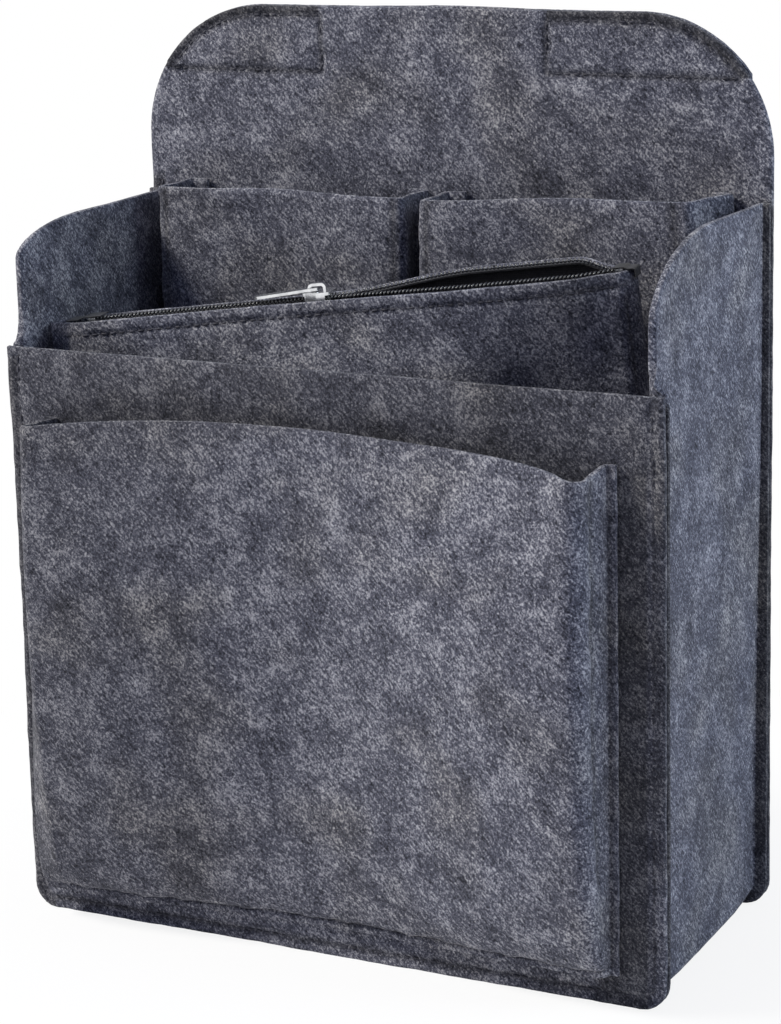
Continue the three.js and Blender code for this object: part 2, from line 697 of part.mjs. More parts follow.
function rimShape(side) {
  const rimEnd = SLIDER_NOSE - 2 * SLIDER_RIM;
  const inner = [
    [-SLIDER_TAIL + SLIDER_RIM, tailHalf],
    [-CHANNEL_START, tailHalf],
    [CHANNEL_END, noseHalf],
    [rimEnd, noseHalf],
  ];
  const outer = inner.map(([x, y]) => [x, y + SLIDER_RIM]).reverse();
  return new THREE.Shape([...inner, ...outer].map(([x, y]) => new THREE.Vector2(x, side * y)));
}

function postShape() {
  const near = CHANNEL_END + LAYER_GAP;
  const far = SLIDER_NOSE - SLIDER_RIM;
  const middle = (near + far) / 2;
  return new THREE.Shape([
    new THREE.Vector2(near, 0),
    new THREE.Vector2(middle, -POST_WIDTH / 2),
    new THREE.Vector2(far, 0),
    new THREE.Vector2(middle, POST_WIDTH / 2),
  ]);
}

function bailSolid() {
  const half = BAIL_LENGTH / 2;
  const crown = BAIL_ROOM + BAIL_WIRE;
  const arch = new THREE.Shape();
  arch.moveTo(-half, -SLIDER_PLATE / 2);
  arch.lineTo(-half, crown - 2 * BAIL_WIRE);
  arch.quadraticCurveTo(-half, crown, -half + 2 * BAIL_WIRE, crown);
  arch.lineTo(half - 2 * BAIL_WIRE, crown);
  arch.quadraticCurveTo(half, crown, half, crown - 2 * BAIL_WIRE);
  arch.lineTo(half, -SLIDER_PLATE / 2);
  arch.lineTo(half - BAIL_WIRE, -SLIDER_PLATE / 2);
  arch.lineTo(half - BAIL_WIRE, BAIL_ROOM - BAIL_WIRE);
  arch.quadraticCurveTo(half - BAIL_WIRE, BAIL_ROOM, half - 2 * BAIL_WIRE, BAIL_ROOM);
  arch.lineTo(-half + 2 * BAIL_WIRE, BAIL_ROOM);
  arch.quadraticCurveTo(-half + BAIL_WIRE, BAIL_ROOM, -half + BAIL_WIRE, BAIL_ROOM - BAIL_WIRE);
  arch.lineTo(-half + BAIL_WIRE, -SLIDER_PLATE / 2);
  return toSolid(upright(arch, BAIL_WIDTH).translate(0, -BAIL_WIDTH / 2, plateTop));
}

function sliderBody() {
  const lowerTop = -TAPE - SLIDER_PLAY;
  const pieces = [
    extruded(plateShape(), plateLow, plateTop),
    extruded(plateShape(), lowerTop - SLIDER_PLATE, lowerTop),
    extruded(rimShape(-1), SLIDER_PLAY, plateLow + SLIDER_PLATE / 2),
    extruded(rimShape(1), SLIDER_PLAY, plateLow + SLIDER_PLATE / 2),
    extruded(postShape(), lowerTop - SLIDER_PLATE / 2, plateLow + SLIDER_PLATE / 2),
  ].map(toSolid);
  const body = pieces.reduce((whole, piece) => whole.add(piece)).add(bailSolid());
  return meshOf("slider_body", toGeometry(body), nickel);
}

// The pull lies over the closed chain; its bar sits in the window of the bail.
function pullTab() {
  const neckHalf = PULL_EYE / 2 + PULL_SHEET;
  const half = PULL_WIDTH / 2;
  const bar = PULL_BAR / 2;
  const tip = -PULL_LENGTH;
  const shape = new THREE.Shape();
  shape.moveTo(bar, -neckHalf + bar);
  shape.lineTo(bar, neckHalf - bar);
  shape.quadraticCurveTo(bar, neckHalf, 0, neckHalf);
  shape.lineTo(-PULL_NECK, neckHalf);
  shape.lineTo(-PULL_NECK - half, half);
  shape.lineTo(tip + half, half);
  shape.quadraticCurveTo(tip, half, tip, 0);
  shape.quadraticCurveTo(tip, -half, tip + half, -half);
  shape.lineTo(-PULL_NECK - half, -half);
  shape.lineTo(-PULL_NECK, -neckHalf);
  shape.lineTo(0, -neckHalf);
  shape.quadraticCurveTo(bar, -neckHalf, bar, -neckHalf + bar);

  const eye = new THREE.Path();
  const eyeEnd = -(BAIL_LENGTH / 2 + PULL_BAR / 2);
  eye.moveTo(-bar, -PULL_EYE / 2);
  eye.lineTo(eyeEnd, -PULL_EYE / 2);
  eye.lineTo(eyeEnd, PULL_EYE / 2);
  eye.lineTo(-bar, PULL_EYE / 2);

  const slot = new THREE.Path();
  const slotEnd = tip + PULL_BAR + PULL_SHEET;
  slot.moveTo(slotEnd, -PULL_SLOT_WIDTH / 2);
  slot.lineTo(slotEnd, PULL_SLOT_WIDTH / 2);
  slot.lineTo(slotEnd + PULL_SLOT_LENGTH, PULL_SLOT_WIDTH / 2);
  slot.lineTo(slotEnd + PULL_SLOT_LENGTH, -PULL_SLOT_WIDTH / 2);
  shape.holes.push(eye, slot);
  return meshOf("pull_tab", extruded(shape, -PULL_SHEET / 2, PULL_SHEET / 2), nickel);
}

// Assembly: the pull turns in the slider, the slider runs on the pouch, the pouch stands in the box.

const pull = new THREE.Group();
pull.name = "pull";
pull.position.z = plateTop + BAIL_ROOM / 2;
pull.rotation.y = -THREE.MathUtils.degToRad(PULL_DROOP);
pull.add(pullTab());

const slider = new THREE.Group();
slider.name = "slider";
slider.position.x = SLIDER_FROM_LEFT;
slider.add(sliderBody(), pull);

const zip = new THREE.Group();
zip.name = "zip";
zip.position.z = POUCH_HEIGHT - ZIP_SINK;
zip.add(
  zipTape("zip_tape_front", -1),
  zipTape("zip_tape_back", 1),
  zipCoil("zip_coil_front", -1),
  zipCoil("zip_coil_back", 1),
  ...zipStops(),
  slider,
);

const tilt = Math.asin(POUCH_RAISE / pouchLength);
const leftY = FELT + POUCH_FRONT_ROOM;
const rightY = backFace - BACK_POCKET_DEPTH - POUCH_BACK_ROOM;
const yaw = Math.asin((rightY - leftY) / (pouchLength * Math.cos(tilt)));
const lean = POUCH_HEIGHT * Math.sin(tilt);
const pouch = new THREE.Group();
pouch.name = "pouch";
pouch.rotation.set(0, -tilt, yaw, "ZYX");
pouch.position.set(
  -innerX + POUCH_WALL_GAP + lean * Math.cos(yaw),
  leftY + lean * Math.sin(yaw),
  baseTop + LAYER_GAP,
);
pouch.add(pouchSheet("pouch_front", -1), pouchSheet("pouch_back", 1), zip);

const organizer = new THREE.Group();
organizer.name = "organizer_insert";
organizer.add(
  backPanel(),
  frontPanel(),
  gussetStrip(),
  grabBand(),
  frontPocket(),
  ...backPockets(),
  pouch,
);
const box = new THREE.Box3().setFromObject(organizer);
organizer.position.y = -(box.min.y + box.max.y) / 2;

export default organizer;
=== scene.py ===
"""Looks of a felt organizer insert for a backpack.

An open box of blue-grey needle felt carries bellows pockets and a grab band, and a loose pouch with a
coil zip stands askew in it. Every felt piece is a sheet grown from its middle surface, with soft cut
edges, sewn grooves and threads. Shapes are worked out in millimetres and become metres in the meshes.
"""

import json
import logging
import math
from dataclasses import dataclass, field
from enum import Enum
from typing import Callable, Sequence

import bpy
import numpy as np
from mathutils import Matrix, Vector


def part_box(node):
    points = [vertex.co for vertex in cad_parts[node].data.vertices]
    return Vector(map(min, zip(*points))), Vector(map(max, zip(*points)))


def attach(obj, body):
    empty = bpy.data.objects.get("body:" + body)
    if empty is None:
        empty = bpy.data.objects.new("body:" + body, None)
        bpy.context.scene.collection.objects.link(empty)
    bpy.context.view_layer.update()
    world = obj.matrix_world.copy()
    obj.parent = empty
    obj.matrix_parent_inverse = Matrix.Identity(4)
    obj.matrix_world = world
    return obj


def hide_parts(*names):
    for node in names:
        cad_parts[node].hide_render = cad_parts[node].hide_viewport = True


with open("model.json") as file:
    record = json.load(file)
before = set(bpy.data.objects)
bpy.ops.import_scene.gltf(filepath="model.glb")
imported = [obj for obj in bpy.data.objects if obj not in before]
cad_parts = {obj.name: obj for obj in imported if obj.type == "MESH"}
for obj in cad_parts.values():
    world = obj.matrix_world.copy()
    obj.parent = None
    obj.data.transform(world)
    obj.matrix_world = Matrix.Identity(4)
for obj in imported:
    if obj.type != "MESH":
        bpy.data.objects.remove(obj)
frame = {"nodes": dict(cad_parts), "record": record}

LOG = logging.getLogger("organizer")
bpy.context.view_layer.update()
MM = 0.001
TINY = 1e-9
LEAST_BEND = 1e-4
FELT = 3.0
LAYER_GAP = 0.3
FOLD_RADIUS = 2.2
FOLD_STEPS = 8
LEAST_STEP = 0.25
ROUND_ANGLE = 80.0
PUCKER_SEED = 31
STITCH_SEED = 77
SEAM_LINES = (-3.0, -1.6, -0.8, 0.0, 0.8, 1.6, 3.0)
EDGES = (0.0, 0.45, 1.0, 1.9, 3.0)
# Point attribute that darkens the felt: painted shade and painted shadow, together with felt squeezed along
# the seams.
PAINTED_SHADE_ATTRIBUTE = "pressed"

Array = np.ndarray
Pair = tuple[float, float]
Triple = tuple[float, float, float]
Quad = tuple[float, float, float, float]
Colour = Triple
Noise = Quad
Tones = tuple[tuple[float, Colour], ...]
Socket = bpy.types.NodeSocket
SurfaceFn = Callable[[Array, Array], Array]


class Body(Enum):
    """Rigid bodies of the frame that new pieces ride on."""

    SHELL = "shell"
    POUCH = "pouch"


class Slot(Enum):
    """Material slots of the record that new pieces take."""

    FELT = "felt"
    TAPE = "zip_tape"
    COIL = "zip_coil"


class Held(Enum):
    """How a sheet is held."""

    STRETCHED = "stretched"
    FOLDED = "folded"


class Face(Enum):
    """Faces of a sheet that show the threads of a seam."""

    FRONT = (1,)
    REAR = (-1,)
    BOTH = (1, -1)


def clamp01(value: Array | float) -> Array | float:
    """Returns value limited to the range from 0 to 1."""
    return np.clip(value, 0.0, 1.0)


def mix(a: Array | float, b: Array | float, share: Array | float) -> Array | float:
    """Returns the value a share of the way from a to b."""
    return a + (b - a) * share


def smooth(start: float, end: float, value: Array | float) -> Array | float:
    """Returns an S-shaped share that is 0 before start and 1 after end."""
    share = clamp01((value - start) / (end - start))
    return share * share * (3.0 - 2.0 * share)


def unit(vectors: Array) -> Array:
    """Returns vectors scaled to length 1 along the last axis."""
    return vectors / np.maximum(np.linalg.norm(vectors, axis=-1, keepdims=True), TINY)


def grids(u: Array, v: Array) -> list[Array]:
    """Returns two places as arrays of one shape."""
    return np.broadcast_arrays(np.asarray(u, float), np.asarray(v, float))


def graded(start: float, end: float, step: float, centres: Sequence[float] = ()) -> Array:
    """Lays grid lines that crowd at both ends and around chosen places.

    Args:
        start: First line.
        end: Last line.
        step: Spacing of the plain stretch.
        centres: Places, such as seams, that get a close group of lines.

    Returns:
        Rising positions of the lines.
    """
    plain = np.arange(start + step, end - 0.5 * step, step)
    inset = np.asarray(EDGES, float)
    close = [centre + offset for centre in centres for offset in SEAM_LINES]
    lines = np.concatenate([plain, start + inset, end - inset, np.asarray(close, float)])
    lines = np.sort(lines[(lines >= start) & (lines <= end)])
    keep = [lines[0]]
    for line in lines[1:]:
        if line - keep[-1] > LEAST_STEP:
            keep.append(line)
    keep[-1] = end
    return np.asarray(keep)


def folded_line(
    corners: Sequence[tuple[float, ...]], arc_steps: int = FOLD_STEPS, least: float = 1.0,
) -> Array:
    """Draws a line whose corners are rounded where a radius is given.

    Args:
        corners: Points as (x, y) or (x, y, radius).
        arc_steps: Steps in each arc.
        least: Shortest tangent length of an arc.

    Returns:
        The points of the line, one row each.
    """
    points = [np.asarray(corner[:2], float) for corner in corners]
    line: list[Array] = []
    for i, (corner, here) in enumerate(zip(corners, points)):
        if len(corner) < 3:
            line.append(here)
            continue
        inward = unit(here - points[i - 1])
        outward = unit(points[i + 1] - here)
        turn = math.atan2(inward[0] * outward[1] - inward[1] * outward[0], float(inward @ outward))
        bend = max(math.tan(abs(turn) / 2), LEAST_BEND)
        tangent = max(corner[2] * bend, least)
        radius = math.copysign(tangent / bend, turn)
        across = np.array([-inward[1], inward[0]])
        centre = here - inward * tangent + across * radius
        for angle in np.linspace(0.0, turn, arc_steps + 1):
            turned = np.array([
                across[0] * math.cos(angle) - across[1] * math.sin(angle),
                across[0] * math.sin(angle) + across[1] * math.cos(angle),
            ])
            line.append(centre - turned * radius)
    return np.asarray(line)


def runs(points: Array) -> Array:
    """Returns the length of a line up to each of its points."""
    return np.concatenate([[0.0], np.cumsum(np.linalg.norm(np.diff(points, axis=0), axis=1))])


def followed(places: Array, along: Array, rows: Array) -> Array:
    """Returns the rows that belong to places along a line, worked out between those at hand."""
    return np.stack([np.interp(places, along, rows[:, k]) for k in range(rows.shape[1])], axis=1)


def mesh_object(
    name: str, points: Array, faces: list[tuple[int, ...]], sharp: float = 50.0,
) -> bpy.types.Object:
    """Makes a smooth-shaded mesh object.

    Args:
        name: Name of the object.
        points: Vertices in millimetres.
        faces: Vertex numbers of each face.
        sharp: Angle in degrees above which an edge stays sharp.

    Returns:
        The new object, linked to the scene.
    """
    mesh = bpy.data.meshes.new(name)
    mesh.from_pydata((points * MM).tolist(), [], faces)
    mesh.validate()
    mesh.shade_smooth()
    mesh.set_sharp_from_angle(angle=math.radians(sharp))
    piece = bpy.data.objects.new(name, mesh)
    bpy.context.scene.collection.objects.link(piece)
    return piece


@dataclass(frozen=True)
class Ripple:
    """Seeded unevenness of a sheet: a few crossing waves."""

    seed: int
    height: float
    length: float
    waves: int = 10
    lengths: Pair = (0.6, 1.9)

    def at(self, a: Array, b: Array) -> Array:
        """Returns the height of the waves.

        Args:
            a: First place on the sheet in millimetres.
            b: Second place on the sheet in millimetres.

        Returns:
            Heights in millimetres, shaped like a.
        """
        rng = np.random.default_rng(self.seed)
        total = np.zeros(np.shape(a))
        for _ in range(self.waves):
            angle = rng.uniform(0.0, math.tau)
            length = self.length * rng.uniform(*self.lengths)
            phase = rng.uniform(0.0, math.tau)
            total = total + np.sin(math.tau * (a * math.cos(angle) + b * math.sin(angle)) / length + phase)
        return self.height * total / math.sqrt(self.waves)


@dataclass(frozen=True)
class Thread:
    """Sewing thread and the dent that it pulls into the felt.

    A stitch is drawn at a few knots, shares of its length, where it arches out of the dent and tapers.
    """

    pitch: float = 3.9
    stitch: float = 3.0
    radius: float = 0.5
    depth: float = 1.15
    hole: float = 0.25
    width: float = 1.7
    pucker: float = 0.22
    pucker_reach: float = 6.0
    pucker_lengths: tuple[float, ...] = (9.0, 14.5, 23.0, 37.0)
    # Darkening of the felt in the dent: painted shade of the groove, together with the squeezed felt.
    shade: float = 0.75
    knots: tuple[float, ...] = (0.0, 0.12, 0.35, 0.65, 0.88, 1.0)
    arch: tuple[float, ...] = (-0.55, 0.0, 0.3, 0.3, 0.0, -0.55)
    taper: tuple[float, ...] = (0.6, 0.95, 1.0, 1.0, 0.95, 0.6)
    start: float = 0.5
    stray: float = 0.12
    skew: float = 0.1
    sides: int = 6


THREAD = Thread()
FINE_THREAD = Thread(depth=0.85, width=1.25, pucker=0.16, shade=0.5)


@dataclass
class Seam:
    """A line of stitches on a sheet, given by places on its middle surface."""

    path: Sequence[Pair]
    face: Face = Face.FRONT
    thread: Thread = THREAD
    step: float = 0.65
    leg_steps: int = 60
    least: int = 8

    def places(self, surface: SurfaceFn) -> Array:
        """Finds close, even places along the seam.

        Args:
            surface: Middle surface that the seam is sewn on.

        Returns:
            The places (u, v), one row each.
        """
        corners = np.asarray(self.path, float)
        legs = zip(corners[:-1], corners[1:])
        fine = np.concatenate(
            [np.linspace(a, b, self.leg_steps, endpoint=False) for a, b in legs] + [corners[-1:]],
        )
        along = runs(surface(fine[:, 0], fine[:, 1]))
        count = max(self.least, int(along[-1] / self.step))
        return followed(np.linspace(0.0, along[-1], count), along, fine)


@dataclass
class Sheet:
    """A closed sheet of cloth grown from a middle surface."""

    surface: SurfaceFn
    across: Array
    along: Array
    thickness: float = FELT
    seams: list[Seam] = field(default_factory=list)
    # Darkening by place: painted shade and painted shadow, and darker sewn edges of squeezed felt.
    margin: SurfaceFn | None = None
    soft_edge: float = 0.32
    edge_reach: float = 0.9
    edge_bulge: float = 0.35
    fuzz: float = 0.05
    thinnest: float = 0.2
    seam_reach: float = 20.0
    normal_step: float = 0.002
    batch: int = 2000
    seed: int = 1

    def middle(self) -> Array:
        """Returns the grid of points on the middle surface."""
        u, v = np.meshgrid(self.across, self.along)
        return self.surface(u, v)

    @staticmethod
    def normals(points: Array) -> Array:
        """Returns the unit normals of a grid of points."""
        return unit(np.cross(np.gradient(points, axis=1), np.gradient(points, axis=0)))

    @staticmethod
    def edge_distance(points: Array) -> Array:
        """Measures a grid against the cut edges.

        Args:
            points: Grid on the middle surface.

        Returns:
            How far each grid point is from the nearest edge.
        """
        nearest = np.full(points.shape[:2], np.inf)
        for axis in (0, 1):
            lengths = np.linalg.norm(np.diff(points, axis=axis), axis=-1)
            run = np.cumsum(np.insert(lengths, 0, 0.0, axis=axis), axis=axis)
            whole = np.take(run, [-1], axis=axis)
            nearest = np.minimum(nearest, np.minimum(run, whole - run))
        return nearest

    def nearest(self, points: Array, line: Array) -> tuple[Array, Array]:
        """Measures a grid against a line that is sewn on it.

        Args:
            points: Grid on the middle surface.
            line: Points of the line.

        Returns:
            How far each grid point is from the line, and how far along the line that is.
        """
        flat = points.reshape(-1, 3)
        low = line.min(axis=0) - self.seam_reach
        high = line.max(axis=0) + self.seam_reach
        near = np.flatnonzero(np.all((flat > low) & (flat < high), axis=1))
        gap = np.full(len(flat), np.inf)
        run = np.zeros(len(flat))
        along = runs(line)
        for start in range(0, len(near), self.batch):
            part = near[start:start + self.batch]
            apart = np.linalg.norm(flat[part, None, :] - line[None, :, :], axis=2)
            best = np.argmin(apart, axis=1)
            gap[part] = apart[np.arange(len(part)), best]
            run[part] = along[best]
        return gap.reshape(points.shape[:2]), run.reshape(points.shape[:2])

    def sewn(self, points: Array, normal: Array, half: Array) -> tuple[Array, ...]:
        """Presses the seams into the sheet.

        Args:
            points: Grid on the middle surface.
            normal: Unit normals of the grid.
            half: Half the thickness at each grid point.

        Returns:
            The moved grid, the thinner half thickness and how far the felt is darkened in the dents: painted
            shade of the groove and squeezed felt.
        """
        moved = points.copy()
        pressed = np.zeros(half.shape)
        for number, seam in enumerate(self.seams):
            places = seam.places(self.surface)
            gap, run = self.nearest(points, self.surface(places[:, 0], places[:, 1]))
            thread = seam.thread
            hole = 1.0 - thread.hole + thread.hole * np.cos(math.tau * run / thread.pitch)
            dent = np.exp(-((gap / thread.width) ** 2))
            # Painted shade in the seam's dent, together with the darker squeezed felt.
            pressed = np.maximum(pressed, thread.shade * dent)
            half = half - thread.depth * hole * dent
            rng = np.random.default_rng(self.seed * PUCKER_SEED + number)
            wave = sum(
                np.sin(math.tau * run / length + rng.uniform(0.0, math.tau))
                for length in thread.pucker_lengths
            )
            lift = thread.pucker * wave * np.exp(-((gap / thread.pucker_reach) ** 2))
            moved = moved + normal * lift[..., None]
        return moved, np.maximum(half, self.thinnest * self.thickness), pressed

    def solid(self, name: str) -> bpy.types.Object:
        """Makes the closed mesh of the sheet.

        Args:
            name: Name of the piece.

        Returns:
            The new object.
        """
        points = self.middle()
        normal = self.normals(points)
        edge = self.edge_distance(points)
        rng = np.random.default_rng(self.seed)
        half = 0.5 * self.thickness * (1.0 - self.soft_edge * np.exp(-((edge / self.edge_reach) ** 2)))
        half = half + self.fuzz * rng.standard_normal(half.shape)
        points, half, pressed = self.sewn(points, normal, half)
        # Adds the piece's painted shade, painted shadow and darker sewn edges.
        if self.margin is not None:
            pressed = np.maximum(pressed, self.margin(*np.meshgrid(self.across, self.along)))
        front = points + normal * half[..., None]
        rear = points - normal * half[..., None]
        rows, columns = half.shape
        number = np.arange(rows * columns).reshape(rows, columns)
        ring = np.concatenate([
            number[0, :-1], number[:-1, -1], number[-1, :0:-1], number[:0:-1, 0],
        ])
        inner = np.concatenate([
            number[1, :-1], number[:-1, -2], number[-2, :0:-1], number[:0:-1, 1],
        ])
        flat = points.reshape(-1, 3)
        outward = unit(flat[ring] - flat[inner])
        bulge = self.edge_bulge + self.fuzz * rng.standard_normal((len(ring), 1))
        rim = flat[ring] + outward * bulge
        count = rows * columns
        faces: list[tuple[int, ...]] = []
        for r in range(rows - 1):
            for c in range(columns - 1):
                a, b, d, e = number[r, c], number[r, c + 1], number[r + 1, c + 1], number[r + 1, c]
                faces.append((int(a), int(b), int(d), int(e)))
                faces.append((int(e) + count, int(d) + count, int(b) + count, int(a) + count))
        size = len(ring)
        for k in range(size):
            j = (k + 1) % size
            a, b = int(ring[k]), int(ring[j])
            p, q = 2 * count + k, 2 * count + j
            faces.append((b, a, p, q))
            faces.append((q, p, a + count, b + count))
        points = np.concatenate([front.reshape(-1, 3), rear.reshape(-1, 3), rim])
        piece = mesh_object(name, points, faces)
        # The darkening goes to the material as a point attribute: painted shade and painted shadow with
        # squeezed felt.
        shade = piece.data.attributes.new(PAINTED_SHADE_ATTRIBUTE, "FLOAT", "POINT")
        even = pressed.ravel()
        shade.data.foreach_set("value", np.concatenate([even, even, even[ring]]).astype(np.float32))
        return piece

    def sewing_line(self, seam: Seam) -> tuple[Array, Array]:
        """Finds a seam on the middle surface.

        Args:
            seam: The seam.

        Returns:
            Points of the seam and the unit normals there.
        """
        u, v = seam.places(self.surface).T
        step_u, step_v = (self.normal_step * np.ptp(lines) for lines in (self.across, self.along))
        du = self.surface(u + step_u, v) - self.surface(u - step_u, v)
        dv = self.surface(u, v + step_v) - self.surface(u, v - step_v)
        return self.surface(u, v), unit(np.cross(du, dv))

    def stitches(self, name: str) -> bpy.types.Object | None:
        """Makes the threads of all seams.

        Args:
            name: Name of the piece.

        Returns:
            The new object, or None if the sheet has no seam.
        """
        points: list[Array] = []
        faces: list[tuple[int, ...]] = []
        rng = np.random.default_rng(self.seed + STITCH_SEED)
        for seam in self.seams:
            thread = seam.thread
            line, normal = self.sewing_line(seam)
            along = runs(line)
            arch = np.array(thread.arch) + 0.5 * self.thickness - thread.depth
            wide = thread.radius * np.array(thread.taper)
            for begin in np.arange(thread.start, along[-1] - thread.stitch, thread.pitch):
                begin = begin + rng.uniform(-thread.stray, thread.stray)
                at = begin + thread.stitch * np.array(thread.knots)
                way = followed(at, along, line)
                out = unit(followed(at, along, normal))
                side = unit(np.cross(out, unit(way[-1] - way[0])))
                for sign in seam.face.value:
                    skew = rng.uniform(-thread.skew, thread.skew) * np.linspace(-1.0, 1.0, len(at))
                    spine = way + sign * out * arch[:, None] + side * skew[:, None]
                    first = sum(len(p) for p in points)
                    points.append(tube_points(spine, side, out, wide, thread.sides))
                    faces.extend(tube_faces(first, len(at), thread.sides))
        if not points:
            return None
        return mesh_object(name, np.concatenate(points), faces, sharp=ROUND_ANGLE)


def tube_points(spine: Array, side: Array, out: Array, radius: Array | float, sides: int) -> Array:
    """Lays rings of points around a line.

    Args:
        spine: Points of the line.
        side: First direction across the line at each point.
        out: Second direction across the line at each point.
        radius: Radius of all rings, or of each.
        sides: Points in each ring.

    Returns:
        The points, ring after ring.
    """
    turn = np.linspace(0.0, math.tau, sides, endpoint=False)[None, :, None]
    circle = side[:, None, :] * np.cos(turn) + out[:, None, :] * np.sin(turn)
    wide = np.broadcast_to(radius, len(spine))[:, None, None]
    return (spine[:, None, :] + circle * wide).reshape(-1, 3)


def tube_faces(first: int, rings: int, sides: int) -> list[tuple[int, ...]]:
    """Returns the faces of a closed tube.

    Args:
        first: Number of the tube's first vertex.
        rings: Rings along the tube.
        sides: Vertices in each ring.

    Returns:
        Vertex numbers of each face.
    """
    faces: list[tuple[int, ...]] = []
    for r in range(rings - 1):
        for k in range(sides):
            j = (k + 1) % sides
            low, high = first + r * sides, first + (r + 1) * sides
            faces.append((low + k, low + j, high + j, high + k))
    faces.append(tuple(first + k for k in reversed(range(sides))))
    faces.append(tuple(first + (rings - 1) * sides + k for k in range(sides)))
    return faces


class Nodes:
    """Short hand for the node tree of one material; a Mix node's colour sockets go by number."""

    mix_inputs = (0, 6, 7)
    mix_output = 2

    def __init__(self, name: str) -> None:
        """Makes a material with a Principled shader.

        Args:
            name: Name of the material.
        """
        self.material = bpy.data.materials.new(name)
        self.material.use_nodes = True
        self.tree = self.material.node_tree
        self.shader = next(n for n in self.tree.nodes if n.type == "BSDF_PRINCIPLED")
        self.place = self.add("ShaderNodeTexCoord").outputs["Object"]

    def add(self, kind: str, **inputs: object) -> bpy.types.Node:
        """Adds a node.

        Args:
            kind: Blender's name of the node type.
            **inputs: Values or sockets for inputs, by their name with _ for a space.

        Returns:
            The new node.
        """
        node = self.tree.nodes.new(kind)
        for key, value in inputs.items():
            self.feed(node.inputs[key.replace("_", " ")], value)
        return node

    def feed(self, socket: Socket, value: object) -> None:
        """Links a socket to an input, or sets its value.

        Args:
            socket: Input of a node.
            value: Socket to link, or a plain value.
        """
        if isinstance(value, Socket):
            self.tree.links.new(value, socket)
        else:
            socket.default_value = value

    def math(self, operation: str, a: object, b: object = 0.0, c: object = 0.0) -> Socket:
        """Adds a Math node.

        Args:
            operation: Blender's name of the operation.
            a: First socket or number.
            b: Second one.
            c: Third one.

        Returns:
            Socket of the result.
        """
        node = self.tree.nodes.new("ShaderNodeMath")
        node.operation = operation
        for socket, value in zip(node.inputs, (a, b, c)):
            self.feed(socket, value)
        return node.outputs[0]

    def noise(
        self, scale: float, detail: float, roughness: float, distortion: float, vector: Socket | None = None,
    ) -> Socket:
        """Adds a noise texture.

        Args:
            scale: Fineness of the noise.
            detail: Finer layers.
            roughness: Weight of the finer layers.
            distortion: How far the noise is bent.
            vector: Coordinates, if not those of the piece.

        Returns:
            Socket of the value.
        """
        node = self.add(
            "ShaderNodeTexNoise", Vector=vector or self.place, Scale=scale, Detail=detail,
            Roughness=roughness, Distortion=distortion,
        )
        return node.outputs["Fac"]

    def stretched(self, turn: Triple, scale: Triple) -> Socket:
        """Multiplies the piece's coordinates along turned axes.

        Args:
            turn: Turn of the axes in radians.
            scale: Factor along each axis.

        Returns:
            Socket of the new coordinates.
        """
        node = self.add("ShaderNodeMapping", Vector=self.place)
        node.vector_type = "TEXTURE"
        node.inputs["Rotation"].default_value = turn
        node.inputs["Scale"].default_value = tuple(1.0 / s for s in scale)
        return node.outputs["Vector"]

    def ramp(self, value: Socket, tones: Tones) -> Socket:
        """Adds a colour ramp.

        Args:
            value: Place on the ramp.
            tones: Position and colour of each stop.

        Returns:
            Socket of the colour.
        """
        node = self.add("ShaderNodeValToRGB", Fac=value)
        while len(node.color_ramp.elements) < len(tones):
            node.color_ramp.elements.new(0.5)
        for element, (position, colour) in zip(node.color_ramp.elements, tones):
            element.position = position
            element.color = (*colour, 1.0)
        return node.outputs["Color"]

    def tint(self, colour: Socket, by: object, factor: object) -> Socket:
        """Multiplies a colour by another one.

        Args:
            colour: First colour.
            by: Second colour.
            factor: How far the change shows.

        Returns:
            Socket of the new colour.
        """
        node = self.tree.nodes.new("ShaderNodeMix")
        node.data_type = "RGBA"
        node.blend_type = "MULTIPLY"
        for number, value in zip(self.mix_inputs, (factor, colour, by)):
            self.feed(node.inputs[number], value)
        return node.outputs[self.mix_output]

    def bump(self, height: Socket, strength: float, distance: float) -> None:
        """Makes the surface uneven by a height."""
        node = self.add("ShaderNodeBump", Height=height, Strength=strength, Distance=distance)
        self.tree.links.new(node.outputs["Normal"], self.shader.inputs["Normal"])

    def even(self, value: Socket, weight: float) -> Socket:
        """Returns a weighted value that is shifted to go around 0 instead of around one half."""
        return self.math("MULTIPLY_ADD", value, weight, -0.5 * weight)

    def coat(self, colour: Socket, value: Socket, span: float, least: float) -> None:
        """Colours the surface and makes it as rough as a value says.

        Args:
            colour: The colour.
            value: Goes from 0 to 1 over the surface.
            span: How much the roughness grows with the value.
            least: Roughness where the value is 0.
        """
        self.feed(self.shader.inputs["Base Color"], colour)
        self.feed(self.shader.inputs["Roughness"], self.math("MULTIPLY_ADD", value, span, least))

    def constant(self, **inputs: object) -> None:
        """Sets inputs of the shader that are the same all over."""
        for key, value in inputs.items():
            self.shader.inputs[key.replace("_", " ")].default_value = value


